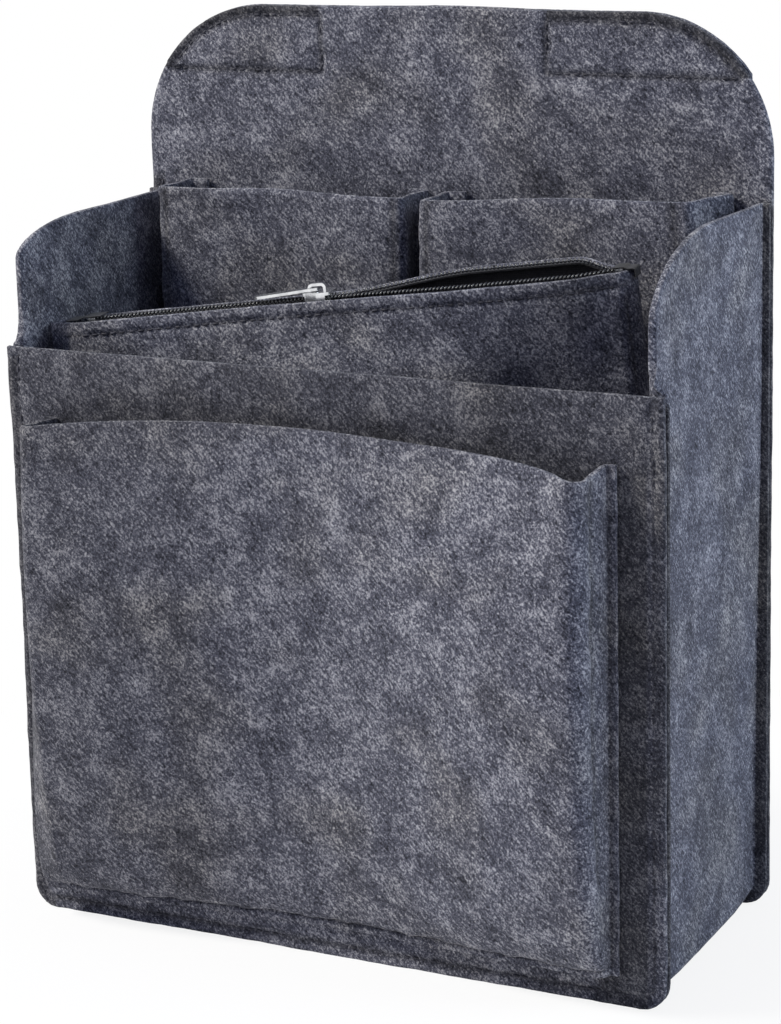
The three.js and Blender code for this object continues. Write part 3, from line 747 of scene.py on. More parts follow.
@dataclass(frozen=True)
class FeltFinish:
    """Mottled blue-grey needle felt: specks, slanting and curly fibres, clouds of lighter wool, and painted
    shade from a point attribute.

    A noise is given by its scale, detail, roughness and distortion.
    """

    name: str = "needle_felt"
    tones: Tones = ((0.15, (0.006, 0.007, 0.013)), (0.5, (0.086, 0.089, 0.118)), (0.88, (0.44, 0.44, 0.47)))
    warm: Quad = (1.05, 1.02, 0.93, 1.0)
    speck: Noise = (1150.0, 2.0, 0.6, 0.5)
    curl: Noise = (400.0, 1.0, 0.5, 1.4)
    cloud: Noise = (80.0, 3.0, 0.6, 0.4)
    patch: Noise = (26.0, 1.0, 0.5, 0.2)
    streak: Noise = (1.0, 1.0, 0.5, 0.5)
    fibre: Triple = (300.0, 1250.0, 1250.0)
    slants: tuple[Triple, ...] = ((0.0, 0.75, 0.0), (0.0, 0.75, 1.57))
    # Colour that the felt is multiplied by where the point attribute is full: painted shade and shadow, and
    # squeezed felt.
    pressed: Quad = (0.44, 0.43, 0.41, 1.0)
    specks: float = 0.8
    streaks: float = 0.64
    curls: float = 0.12
    curl_line: float = 14.0
    curl_way: Triple = (1.0, 0.7, -0.4)
    curl_share: float = 0.35
    curl_sets: tuple[Pair, ...] = ((0.31, 1.0), (0.83, -1.0))
    clouds: float = 0.62
    patch_edge: Pair = (4.0, -1.9)
    rough: Pair = (0.16, 0.84)
    relief: Pair = (0.45, 0.0008)

    def fibres(self, nodes: Nodes, shift: float) -> Socket:
        """Returns 1 on thin curly lines and 0 between them.

        Args:
            nodes: The material's node tree.
            shift: Moves the lines, so that two sets differ.

        Returns:
            The value to add to the felt's tone.
        """
        moved = nodes.add("ShaderNodeMapping", Vector=nodes.place)
        moved.inputs["Location"].default_value = tuple(shift * part for part in self.curl_way)
        field_value = nodes.noise(*self.curl, moved.outputs["Vector"])
        away = nodes.math("ABSOLUTE", nodes.math("SUBTRACT", field_value, 0.5))
        return nodes.math("MAXIMUM", nodes.math("MULTIPLY_ADD", away, -self.curl_line, 1.0), 0.0)

    def material(self) -> bpy.types.Material:
        """Mixes the felt's material.

        Returns:
            The new material.
        """
        nodes = Nodes(self.name)
        speck = nodes.noise(*self.speck)
        cloud = nodes.noise(*self.cloud)
        tone = nodes.math("MULTIPLY_ADD", speck, self.specks, 0.5 - 0.5 * self.specks)
        for slant in self.slants:
            streak = nodes.noise(*self.streak, nodes.stretched(slant, self.fibre))
            tone = nodes.math("ADD", tone, nodes.even(streak, self.streaks))
        for shift, sign in self.curl_sets:
            weight = sign * self.curls
            curl = nodes.math("MULTIPLY_ADD", self.fibres(nodes, shift), weight, -self.curl_share * weight)
            tone = nodes.math("ADD", tone, curl)
        tone = nodes.math("ADD", tone, nodes.even(cloud, self.clouds))
        colour = nodes.ramp(tone, self.tones)
        patch = nodes.noise(*self.patch)
        patch = nodes.math("MULTIPLY_ADD", patch, *self.patch_edge)
        patch = nodes.math("MINIMUM", nodes.math("MAXIMUM", patch, 0.0), 1.0)
        colour = nodes.tint(colour, self.warm, patch)
        # Reads the painted shade and painted shadow, with the squeezed felt of the seams, and darkens the
        # colour by them.
        flattened = nodes.add("ShaderNodeAttribute")
        flattened.attribute_name = PAINTED_SHADE_ATTRIBUTE
        colour = nodes.tint(colour, self.pressed, flattened.outputs["Fac"])
        nodes.coat(colour, speck, *self.rough)
        nodes.bump(tone, *self.relief)
        nodes.constant(Specular_IOR_Level=0.15, Sheen_Weight=0.08, Sheen_Roughness=0.6)
        return nodes.material


@dataclass(frozen=True)
class ThreadFinish:
    """Dark twisted sewing thread."""

    name: str = "sewing_thread"
    tones: Tones = ((0.3, (0.010, 0.010, 0.016)), (0.75, (0.055, 0.056, 0.075)))
    twist: Noise = (900.0, 2.0, 0.5, 1.5)
    rough: Pair = (0.3, 0.5)
    relief: Pair = (0.4, 0.0003)

    def material(self) -> bpy.types.Material:
        """Mixes the thread's material.

        Returns:
            The new material.
        """
        nodes = Nodes(self.name)
        ply = nodes.noise(*self.twist)
        nodes.coat(nodes.ramp(ply, self.tones), ply, *self.rough)
        nodes.bump(ply, *self.relief)
        nodes.constant(Specular_IOR_Level=0.35)
        return nodes.material


@dataclass(frozen=True)
class TapeFinish:
    """Black woven zip tape."""

    name: str = "woven_tape"
    tones: Tones = ((0.1, (0.004, 0.004, 0.006)), (1.0, (0.026, 0.026, 0.032)))
    yarn: Noise = (1400.0, 2.0, 0.5, 0.0)
    weave: float = 437.5
    nap: float = 0.4
    rough: Pair = (0.25, 0.6)
    relief: Pair = (0.5, 0.0003)

    def material(self) -> bpy.types.Material:
        """Mixes the tape's material.

        Returns:
            The new material.
        """
        nodes = Nodes(self.name)
        waves = []
        for direction in ("X", "Z"):
            wave = nodes.add(
                "ShaderNodeTexWave", Vector=nodes.place, Scale=self.weave, Distortion=0.6, Detail=1.0,
            )
            wave.bands_direction = direction
            waves.append(wave.outputs["Fac"])
        weave = nodes.math("MULTIPLY", waves[0], waves[1])
        nap = nodes.noise(*self.yarn)
        height = nodes.math("MULTIPLY_ADD", nap, self.nap, weave)
        nodes.coat(nodes.ramp(height, self.tones), nap, *self.rough)
        nodes.bump(height, *self.relief)
        nodes.constant(Specular_IOR_Level=0.3, Sheen_Weight=0.1)
        return nodes.material


@dataclass(frozen=True)
class CoilFinish:
    """Black nylon of the zip coil, with a soft gloss."""

    name: str = "coil_nylon"
    tones: Tones = ((0.3, (0.006, 0.006, 0.008)), (0.7, (0.045, 0.046, 0.055)))
    haze: Noise = (420.0, 2.0, 0.5, 0.0)
    rough: Pair = (0.2, 0.2)

    def material(self) -> bpy.types.Material:
        """Mixes the coil's material.

        Returns:
            The new material.
        """
        nodes = Nodes(self.name)
        haze = nodes.noise(*self.haze)
        nodes.coat(nodes.ramp(haze, self.tones), haze, *self.rough)
        nodes.constant(Specular_IOR_Level=0.8, Coat_Weight=0.4, Coat_Roughness=0.15)
        return nodes.material


@dataclass(frozen=True)
class NickelFinish:
    """Bright nickel plate with fine rubbing marks."""

    name: str = "nickel_plate"
    tones: Tones = ((0.25, (0.52, 0.53, 0.56)), (0.6, (0.80, 0.81, 0.83)))
    rub_turn: Triple = (0.1, 0.2, 0.3)
    rub: Triple = (350.0, 2600.0, 2600.0)
    marks: Noise = (1.0, 3.0, 0.6, 0.3)
    tarnish: Noise = (260.0, 2.0, 0.5, 0.0)
    rough: Pair = (0.22, 0.12)
    relief: Pair = (0.06, 0.0002)

    def material(self) -> bpy.types.Material:
        """Mixes the plated metal's material.

        Returns:
            The new material.
        """
        nodes = Nodes(self.name)
        rubbed = nodes.noise(*self.marks, nodes.stretched(self.rub_turn, self.rub))
        tarnish = nodes.noise(*self.tarnish)
        nodes.coat(nodes.ramp(tarnish, self.tones), rubbed, *self.rough)
        nodes.bump(rubbed, *self.relief)
        nodes.constant(Metallic=1.0)
        return nodes.material


@dataclass
class Finishes:
    """All finishes of the part."""

    felt: bpy.types.Material = field(default_factory=lambda: FeltFinish().material())
    thread: bpy.types.Material = field(default_factory=lambda: ThreadFinish().material())
    tape: bpy.types.Material = field(default_factory=lambda: TapeFinish().material())
    coil: bpy.types.Material = field(default_factory=lambda: CoilFinish().material())
    nickel: bpy.types.Material = field(default_factory=lambda: NickelFinish().material())


def dress(piece: bpy.types.Object, material: bpy.types.Material, body: Body) -> None:
    """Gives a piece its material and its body.

    Args:
        piece: The new piece.
        material: Its finish.
        body: The body it rides on.
    """
    piece.data.materials.clear()
    piece.data.materials.append(material)
    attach(piece, body.value)


@dataclass
class ClothPiece:
    """A sheet with its threads and its flat cut; it replaces its CAD node unless it is extra."""

    node: str
    sheet: Sheet
    body: Body
    flat: Pair
    held: Held
    rests_on: tuple[str, ...] = ()
    slot: Slot = Slot.FELT
    extra: bool = False

    def make(self, finishes: Finishes) -> bpy.types.Object:
        """Args:
            finishes: The finishes of the part.

        Returns:
            The sheet's object.
        """
        piece = self.sheet.solid(f"{self.node}_cloth")
        cloth = finishes.felt if self.slot is Slot.FELT else finishes.tape
        dress(piece, cloth, self.body)
        if not self.extra:
            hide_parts(self.node)
        threads = self.sheet.stitches(f"{self.node}_stitches")
        if threads is not None:
            dress(threads, finishes.thread, self.body)
        LOG.info("%s: %d faces", piece.name, len(piece.data.polygons))
        return piece


@dataclass(frozen=True)
class BoxFrame:
    """Where the box stands: y is measured from the front of the front panel."""

    front: float
    depth: float = 124.0
    rear_shift: float = 4.5

    def place(self, x: Array, y: Array, z: Array) -> Array:
        """Returns points of the box in the shared frame; its rear stands a little to the left."""
        return np.stack([x - self.rear_shift * y / self.depth, y + self.front, z], axis=-1)


@dataclass
class Panel:
    """Front or back panel: a flat cut with rounded corners and a sewn border."""

    node: str
    frame: BoxFrame
    height: float
    middle: float
    sewn_height: float
    seed: int
    top_radius: float = 0.0
    width: float = 280.0
    bottom_radius: float = 10.0
    curl: float = 0.0
    curl_reach: float = 45.0
    inset: float = 4.6
    step: float = 5.0
    least_row: float = 0.2
    arc_steps: int = 34
    corner_steps: int = 7
    straight: float = 85.0
    least_side: float = 3.0
    # Painted shade: how much darker the panel gets towards its top, and the heights over which it grows.
    shade: float = 0.0
    shade_rise: Pair = (25.0, 110.0)
    # Painted shadow of the pocket: a darker strip (start, end, top) beside it, with the fades of its edges.
    flattened: Triple = (0.0, 0.0, 0.0)
    flattened_fade: Triple = (4.0, 2.0, 6.0)
    # How dark each sewn edge is (left, right, bottom): squeezed felt, and painted shade where the sides
    # differ.
    margins: Triple = (1.0, 1.0, 0.25)
    margin_fade: float = 1.0
    ripple: Ripple = Ripple(3, 0.3, 90.0)
    band: "GrabBand | None" = None

    def half_width(self, z: Array) -> Array:
        """Works out half the width of the cut.

        Args:
            z: Heights.

        Returns:
            Half the width at each height.
        """
        half = np.full(np.shape(z), self.width / 2)
        low = self.bottom_radius - np.clip(z, 0.0, self.bottom_radius)
        half = half - self.bottom_radius + np.sqrt(np.maximum(self.bottom_radius ** 2 - low ** 2, 0.0))
        if self.top_radius:
            high = np.clip(z - self.height + self.top_radius, 0.0, self.top_radius)
            half = half - self.top_radius + np.sqrt(np.maximum(self.top_radius ** 2 - high ** 2, 0.0))
        return half

    def squeeze(self, z: Array) -> Array:
        """Returns how much the sides are drawn in by the rounded corners at each height."""
        side = np.maximum(self.half_width(z) - self.straight, self.least_side)
        return side / (self.width / 2 - self.straight)

    def across(self, u: Array, z: Array) -> Array:
        """Returns the place across of a column at each height."""
        past = np.maximum(np.abs(u) - self.straight, 0.0)
        return np.sign(u) * (np.minimum(np.abs(u), self.straight) + past * self.squeeze(z))

    def surface(self, u: Array, v: Array) -> Array:
        """Works out points of the middle surface.

        Args:
            u: Column.
            v: Height.

        Returns:
            Points in the shared frame.
        """
        x = self.across(u, v)
        curl = self.curl * smooth(self.height - self.curl_reach, self.height, v)
        return self.frame.place(x, self.middle + self.ripple.at(x, v) - curl, v)

    def at(self, x: float, z: float) -> Pair:
        """Returns the place on the surface for a point of the cut."""
        past = max(abs(x) - self.straight, 0.0) / float(self.squeeze(np.asarray(z)))
        return math.copysign(min(abs(x), self.straight) + past, x), z

    def margin(self, u: Array, v: Array) -> Array:
        """Works out where the felt is darker: sewn edges of squeezed felt, painted shade towards the top and
        a painted shadow beside the pocket.

        Args:
            u: Column.
            v: Height.

        Returns:
            Shares from 0 to 1, highest on sewn margins and in the painted shadow.
        """
        x = self.across(u, v)
        radius = self.bottom_radius
        past = np.abs(x) - self.width / 2 + radius
        corner = radius - np.hypot(np.maximum(past, 0.0), np.maximum(radius - v, 0.0))
        side = np.where((past > 0.0) & (v < radius), corner, radius - past)
        left, right, low = self.margins
        inner = self.inset - self.margin_fade
        sides, foot = (1.0 - smooth(inner, self.inset, reach) for reach in (side, v))
        # Darker sewn edges: squeezed felt, and painted shade where left and right differ.
        pressed = np.maximum(sides * np.where(x < 0.0, left, right), foot * low) * (v < self.sewn_height)
        # Painted shade: the panel darkens towards its top.
        pressed = mix(pressed, 1.0, self.shade * smooth(*self.shade_rise, v))
        # Painted shadow of the pocket on a strip beside it.
        start, end, top = self.flattened
        if end:
            start_fade, end_fade, top_fade = self.flattened_fade
            beside = smooth(start, start + start_fade, x) * (1.0 - smooth(end - end_fade, end, x))
            pressed = np.maximum(pressed, beside * (1.0 - smooth(top - top_fade, top, v)))
        if self.band is not None:
            pressed = np.maximum(pressed, self.band.margin(x, v))
        return pressed

    def border(self) -> Seam:
        """Lays the seam that joins the panel to the strip.

        Returns:
            The seam.
        """
        side = self.width / 2 - self.inset
        corner = self.bottom_radius - self.inset
        arc = [
            (-side + corner - corner * math.cos(a), self.inset + corner - corner * math.sin(a))
            for a in np.linspace(0.0, math.pi / 2, self.corner_steps)
        ]
        left = [(-side, self.sewn_height), *arc]
        right = [(-x, z) for x, z in reversed(left)]
        return Seam([self.at(x, z) for x, z in [*left, *right]], Face.BOTH)

    def sheet(self) -> Sheet:
        """Lays out the panel.

        Returns:
            The panel as a sheet.
        """
        half = self.width / 2
        columns, levels, seams = [-half + self.inset, half - self.inset], [self.inset], [self.border()]
        if self.band is not None:
            columns += [-self.band.inner[0], self.band.inner[1]]
            levels += [*self.band.sewn_low, self.height - self.band.inset]
            for side in (-1, 1):
                seams.append(Seam([self.at(x, z) for x, z in self.band.end_box(side)], Face.FRONT))
        across = graded(-half, half, self.step, columns)
        rows = graded(0.0, self.height, self.step, levels)
        if self.top_radius:
            turn = np.linspace(0.0, math.pi / 2, self.arc_steps)
            arc = self.height - self.top_radius * (1.0 - np.sin(turn))
            rows = np.sort(np.concatenate([rows, arc]))
            rows = np.append(rows[:-1][np.diff(rows) > self.least_row], self.height)
        return Sheet(self.surface, across, rows, seams=seams, margin=self.margin, seed=self.seed)

    def piece(self) -> ClothPiece:
        """Returns the panel as a piece of the box."""
        flat = (self.width, self.height)
        return ClothPiece(self.node, self.sheet(), Body.SHELL, flat, Held.STRETCHED, ("gusset_strip",))


@dataclass
class GussetStrip:
    """Left wall, base and right wall in one strip with both long edges turned out."""

    frame: BoxFrame
    wall_x: float = 135.0
    near: float = 4.8
    far: float = 119.2
    flange: float = 5.0
    knee: float = 10.0
    sag: float = 3.4
    sag_reach: float = 60.0
    sag_power: int = 5
    left_height: float = 282.0
    left_brow: Pair = (46.0, 12.0)
    right_height: float = 288.0
    right_brow: Pair = (60.0, 32.0)
    front_height: float = 235.0
    flare: float = 0.8
    left_lean: float = 1.5
    lean_from: float = 110.0
    rear_swell: float = 2.4
    swell_up: Pair = (30.0, 240.0)
    swell_back: Pair = (65.0, 112.0)
    free_band: Pair = (3.0, 9.0)
    calm_edge: Pair = (2.0, 32.0)
    margin_fade: float = 1.0
    front_fade: float = 4.0
    fold_clear: float = 1.0
    step: float = 5.5
    base_steps: int = 46
    bend_steps: int = 9
    ripple: Ripple = Ripple(11, 0.35, 90.0)
    right_ripple: float = 400.0
    seed: int = 5

    def __post_init__(self) -> None:
        """Draws the cross-section: flange, fold, wall, fold, flange."""
        wall = -FELT / 2
        self.line = folded_line([
            (self.flange, self.near), (wall, self.near, FOLD_RADIUS), (wall, self.far, FOLD_RADIUS),
            (self.flange, self.far),
        ])
        self.run = runs(self.line)
        self.fold_end, self.fold_end_y = self.run[FOLD_STEPS + 1], self.line[FOLD_STEPS + 1][1]
        self.bend = self.knee - self.flange

    def top(self, y: Array, height: float, brow: Pair) -> Array:
        """Works out a wall's upper edge.

        Args:
            y: Depths.
            height: Height behind the brow.
            brow: Length and drop of the rounded front.

        Returns:
            Height of the edge at each depth.
        """
        length, drop = brow
        front = self.near - FELT / 2
        left = 1.0 - clamp01((y - front) / length)
        return height - drop * (1.0 - np.sqrt(np.maximum(1.0 - left ** 2, 0.0)))

    def wall(self, p: Array, y: Array, u: Array, share: Array, left: bool) -> tuple[Array, ...]:
        """Works out a side wall.

        Args:
            p: Distance outside the wall's line.
            y: Depth in the box.
            u: Run along the cross-section.
            share: Share of the height above the knee.
            left: Whether it is the left wall.

        Returns:
            Distance outside the wall's line, depth and height.
        """
        sizes = ((self.right_height, self.right_brow), (self.left_height, self.left_brow))
        height, brow = sizes[left]
        z = mix(self.knee, self.top(y, height, brow), share)
        below, above = self.free_band
        free = smooth(self.front_height - below, self.front_height + above, z)
        along = clamp01(u / self.fold_end)
        in_front = u < self.fold_end
        free_y = mix(self.near - FELT / 2, self.fold_end_y, along)
        free_p = -FELT / 2 + self.flare * (1.0 - along) ** 2
        y = np.where(in_front, mix(y, free_y, free), y)
        p = np.where(in_front, mix(p, free_p, free), p)
        z = mix(self.knee, self.top(y, height, brow), share)
        wave = self.ripple.at(y, z + (0.0 if left else self.right_ripple))
        p = p + wave * smooth(*self.calm_edge, np.minimum(y, self.far - y))
        if left:
            return p + self.left_lean * smooth(self.lean_from, height, z) * (1.0 - y / self.far), y, z
        folded = clamp01((p + FELT / 2) / (self.flange + FELT / 2))
        swell = self.rear_swell * smooth(*self.swell_up, z) * smooth(*self.swell_back, y)
        return p + swell * (1.0 - folded), y, z

    def surface(self, u: Array, v: Array) -> Array:
        """Returns points of the middle surface.

        Args:
            u: Run along the cross-section.
            v: From 0 at the top of the left wall, where 1 is its foot, 2 the end of the bend, 3 the end of
                the base, 4 the foot of the right wall and 5 its top.

        Returns:
            Points in the shared frame.
        """
        u, v = grids(u, v)
        p = np.interp(u, self.run, self.line[:, 0])
        y = np.interp(u, self.run, self.line[:, 1])
        middle_x = self.wall_x - self.bend
        left_p, left_y, left_z = self.wall(p, y, u, 1.0 - v, True)
        right_p, right_y, right_z = self.wall(p, y, u, v - 4.0, False)
        first = math.pi * (1.0 + 0.5 * (v - 1.0))
        second = math.pi * (1.5 + 0.5 * (v - 3.0))
        radius = self.bend + p
        steps = [v < 1.0, v < 2.0, v < 3.0, v < 4.0]
        x = np.select(steps, [
            -self.wall_x - left_p,
            -middle_x + radius * np.cos(first),
            mix(-middle_x, middle_x, v - 2.0),
            middle_x + radius * np.cos(second),
        ], self.wall_x + right_p)
        z = np.select(steps, [
            left_z,
            self.knee + radius * np.sin(first),
            self.flange - p,
            self.knee + radius * np.sin(second),
        ], right_z)
        depth = np.select(steps, [left_y, y, y, y], right_y)
        across = clamp01((depth - self.near) / (self.far - self.near))
        hung = 1.0 - np.abs(2.0 * across - 1.0) ** self.sag_power
        z = z - self.sag * hung * (1.0 - smooth(self.knee, self.sag_reach, z))
        return self.frame.place(x, depth, z)

    def sheet(self) -> Sheet:
        """Lays out the strip.

        Returns:
            The strip as a sheet.
        """
        folds = self.run[1:-1]
        near_end, far_start = folds[FOLD_STEPS], folds[FOLD_STEPS + 1]
        across = graded(0.0, self.run[-1], self.step)
        wall = (across > near_end + self.fold_clear) & (across < far_start - self.fold_clear)
        flat = wall | (across < folds[0]) | (across > folds[-1])
        across = np.unique(np.round(np.concatenate([across[flat], folds]), 4))
        left, right = (
            graded(0.0, height - self.knee, self.step) / (height - self.knee)
            for height in (self.left_height, self.right_height)
        )
        base = np.linspace(0.0, 1.0, self.base_steps)
        bend = np.linspace(0.0, 1.0, self.bend_steps)
        along = [left[:-1], 1.0 + bend[:-1], 2.0 + base[:-1], 3.0 + bend[:-1], 4.0 + right]
        return Sheet(self.surface, across, np.concatenate(along), margin=self.margin, seed=self.seed)

    def margin(self, u: Array, v: Array) -> Array:
        """Works out where the felt is darker: on the sewn flanges, from squeezed felt and painted shade.

        Args:
            u: Run along the cross-section.
            v: Place along the strip.

        Returns:
            1 on the sewn flanges and 0 elsewhere.
        """
        z = self.surface(u, v)[..., 2]
        inner = self.flange - self.margin_fade
        front, rear = (1.0 - smooth(inner, self.flange, reach) for reach in (u, self.run[-1] - u))
        free = smooth(self.front_height - self.front_fade, self.front_height, z)
        return np.maximum(front * (1.0 - free), rear)

    def piece(self) -> ClothPiece:
        """Cuts the strip.

        Returns:
            The strip as a piece of the box.
        """
        flat = (float(self.run[-1]), self.left_height + self.right_height + 2 * self.wall_x)
        panels = ("front_panel", "back_panel")
        return ClothPiece("gusset_strip", self.sheet(), Body.SHELL, flat, Held.FOLDED, panels)


@dataclass
class GrabBand:
    """Band on the rear that follows the rounded top of the back panel and bows out in its middle."""

    frame: BoxFrame
    height: float = 28.0
    grip: float = 100.0
    bow: float = 9.0
    tip: float = 5.0
    panel_width: float = 280.0
    panel_height: float = 360.0
    top_radius: float = 55.0
    inset: float = 3.6
    inner: Pair = (57.0, 45.0)
    sewn_low: Pair = (333.4, 335.5)
    bow_length: float = 4.0
    margin_fade: float = 0.8
    steps: Pair = (4.0, 3.0)
    arc_steps: int = 9
    seed: int = 9

    def __post_init__(self) -> None:
        """Works out where the band ends."""
        self.corner = self.panel_width / 2 - self.top_radius
        drop = self.top_radius - self.height + self.tip
        self.end = self.corner + math.sqrt(self.top_radius ** 2 - drop ** 2)

    def surface(self, u: Array, v: Array) -> Array:
        """Works out points of the middle surface.

        Args:
            u: Place across.
            v: Share of the height.

        Returns:
            Points in the shared frame.
        """
        past = np.clip(np.abs(u) - self.corner, 0.0, self.top_radius)
        top = self.panel_height - self.top_radius + np.sqrt(self.top_radius ** 2 - past ** 2)
        low = self.panel_height - self.height
        z = mix(low, np.maximum(top, low + self.tip), v)
        bow = self.bow * np.cos(math.pi / 2 * clamp01(np.abs(u) / (self.grip / 2))) ** 2
        y = self.frame.depth + LAYER_GAP + FELT / 2 + bow
        return self.frame.place(u, y, z)

    def end_box(self, side: int) -> list[Pair]:
        """Draws the stitched box at one end of the band.

        Args:
            side: -1 for the left end, 1 for the right one.

        Returns:
            Its corners (x, z).
        """
        inner, low = self.inner[side > 0], self.sewn_low[side > 0]
        radius = self.top_radius - self.inset
        centre = self.panel_height - self.top_radius
        last = math.asin((low - centre) / radius)
        arc = [
            (self.corner + radius * math.cos(a), centre + radius * math.sin(a))
            for a in np.linspace(math.pi / 2, last, self.arc_steps)
        ]
        corners = [arc[-1], (inner, low), (inner, self.panel_height - self.inset), *arc]
        return [(side * x, z) for x, z in corners]

    def margin(self, x: Array, z: Array) -> Array:
        """Works out where the panel is darker under the band.

        Args:
            x: Place across.
            z: Height.

        Returns:
            1 outside the stitches at the rounded edge of the sewn ends, and 0 elsewhere.
        """
        side = np.where(x > 0.0, 1, 0)
        centre = self.panel_height - self.top_radius
        away = np.hypot(np.maximum(np.abs(x) - self.corner, 0.0), z - centre)
        edge = 1.0 - smooth(self.inset - self.margin_fade, self.inset, self.top_radius - away)
        ends = (np.abs(x) > np.asarray(self.inner)[side]) & (z > np.asarray(self.sewn_low)[side])
        return edge * ends

    def share(self, x: float, z: float) -> float:
        """Works out how high up the band a point is.

        Args:
            x: Place across.
            z: Height.

        Returns:
            Share of the band's height.
        """
        past = min(max(abs(x) - self.corner, 0.0), self.top_radius)
        low = self.panel_height - self.height
        top = self.panel_height - self.top_radius + math.sqrt(self.top_radius ** 2 - past ** 2)
        return float(clamp01((z - low) / (max(top, low + self.tip) - low)))

    def piece(self) -> ClothPiece:
        """Cuts the band.

        Returns:
            The band as a piece of the box.
        """
        step, step_up = self.steps
        across = graded(-self.end, self.end, step, (-self.grip / 2, self.grip / 2))
        along = graded(0.0, self.height, step_up, (self.inset, self.height - self.inset)) / self.height
        boxes = [self.end_box(side) for side in (-1, 1)]
        seams = [Seam([(x, self.share(x, z)) for x, z in box], Face.REAR) for box in boxes]
        sheet = Sheet(self.surface, across, along, seams=seams, seed=self.seed)
        flat = (2 * self.end + self.bow_length, self.height)
        return ClothPiece("rear_grab_band", sheet, Body.SHELL, flat, Held.STRETCHED, ("back_panel",))


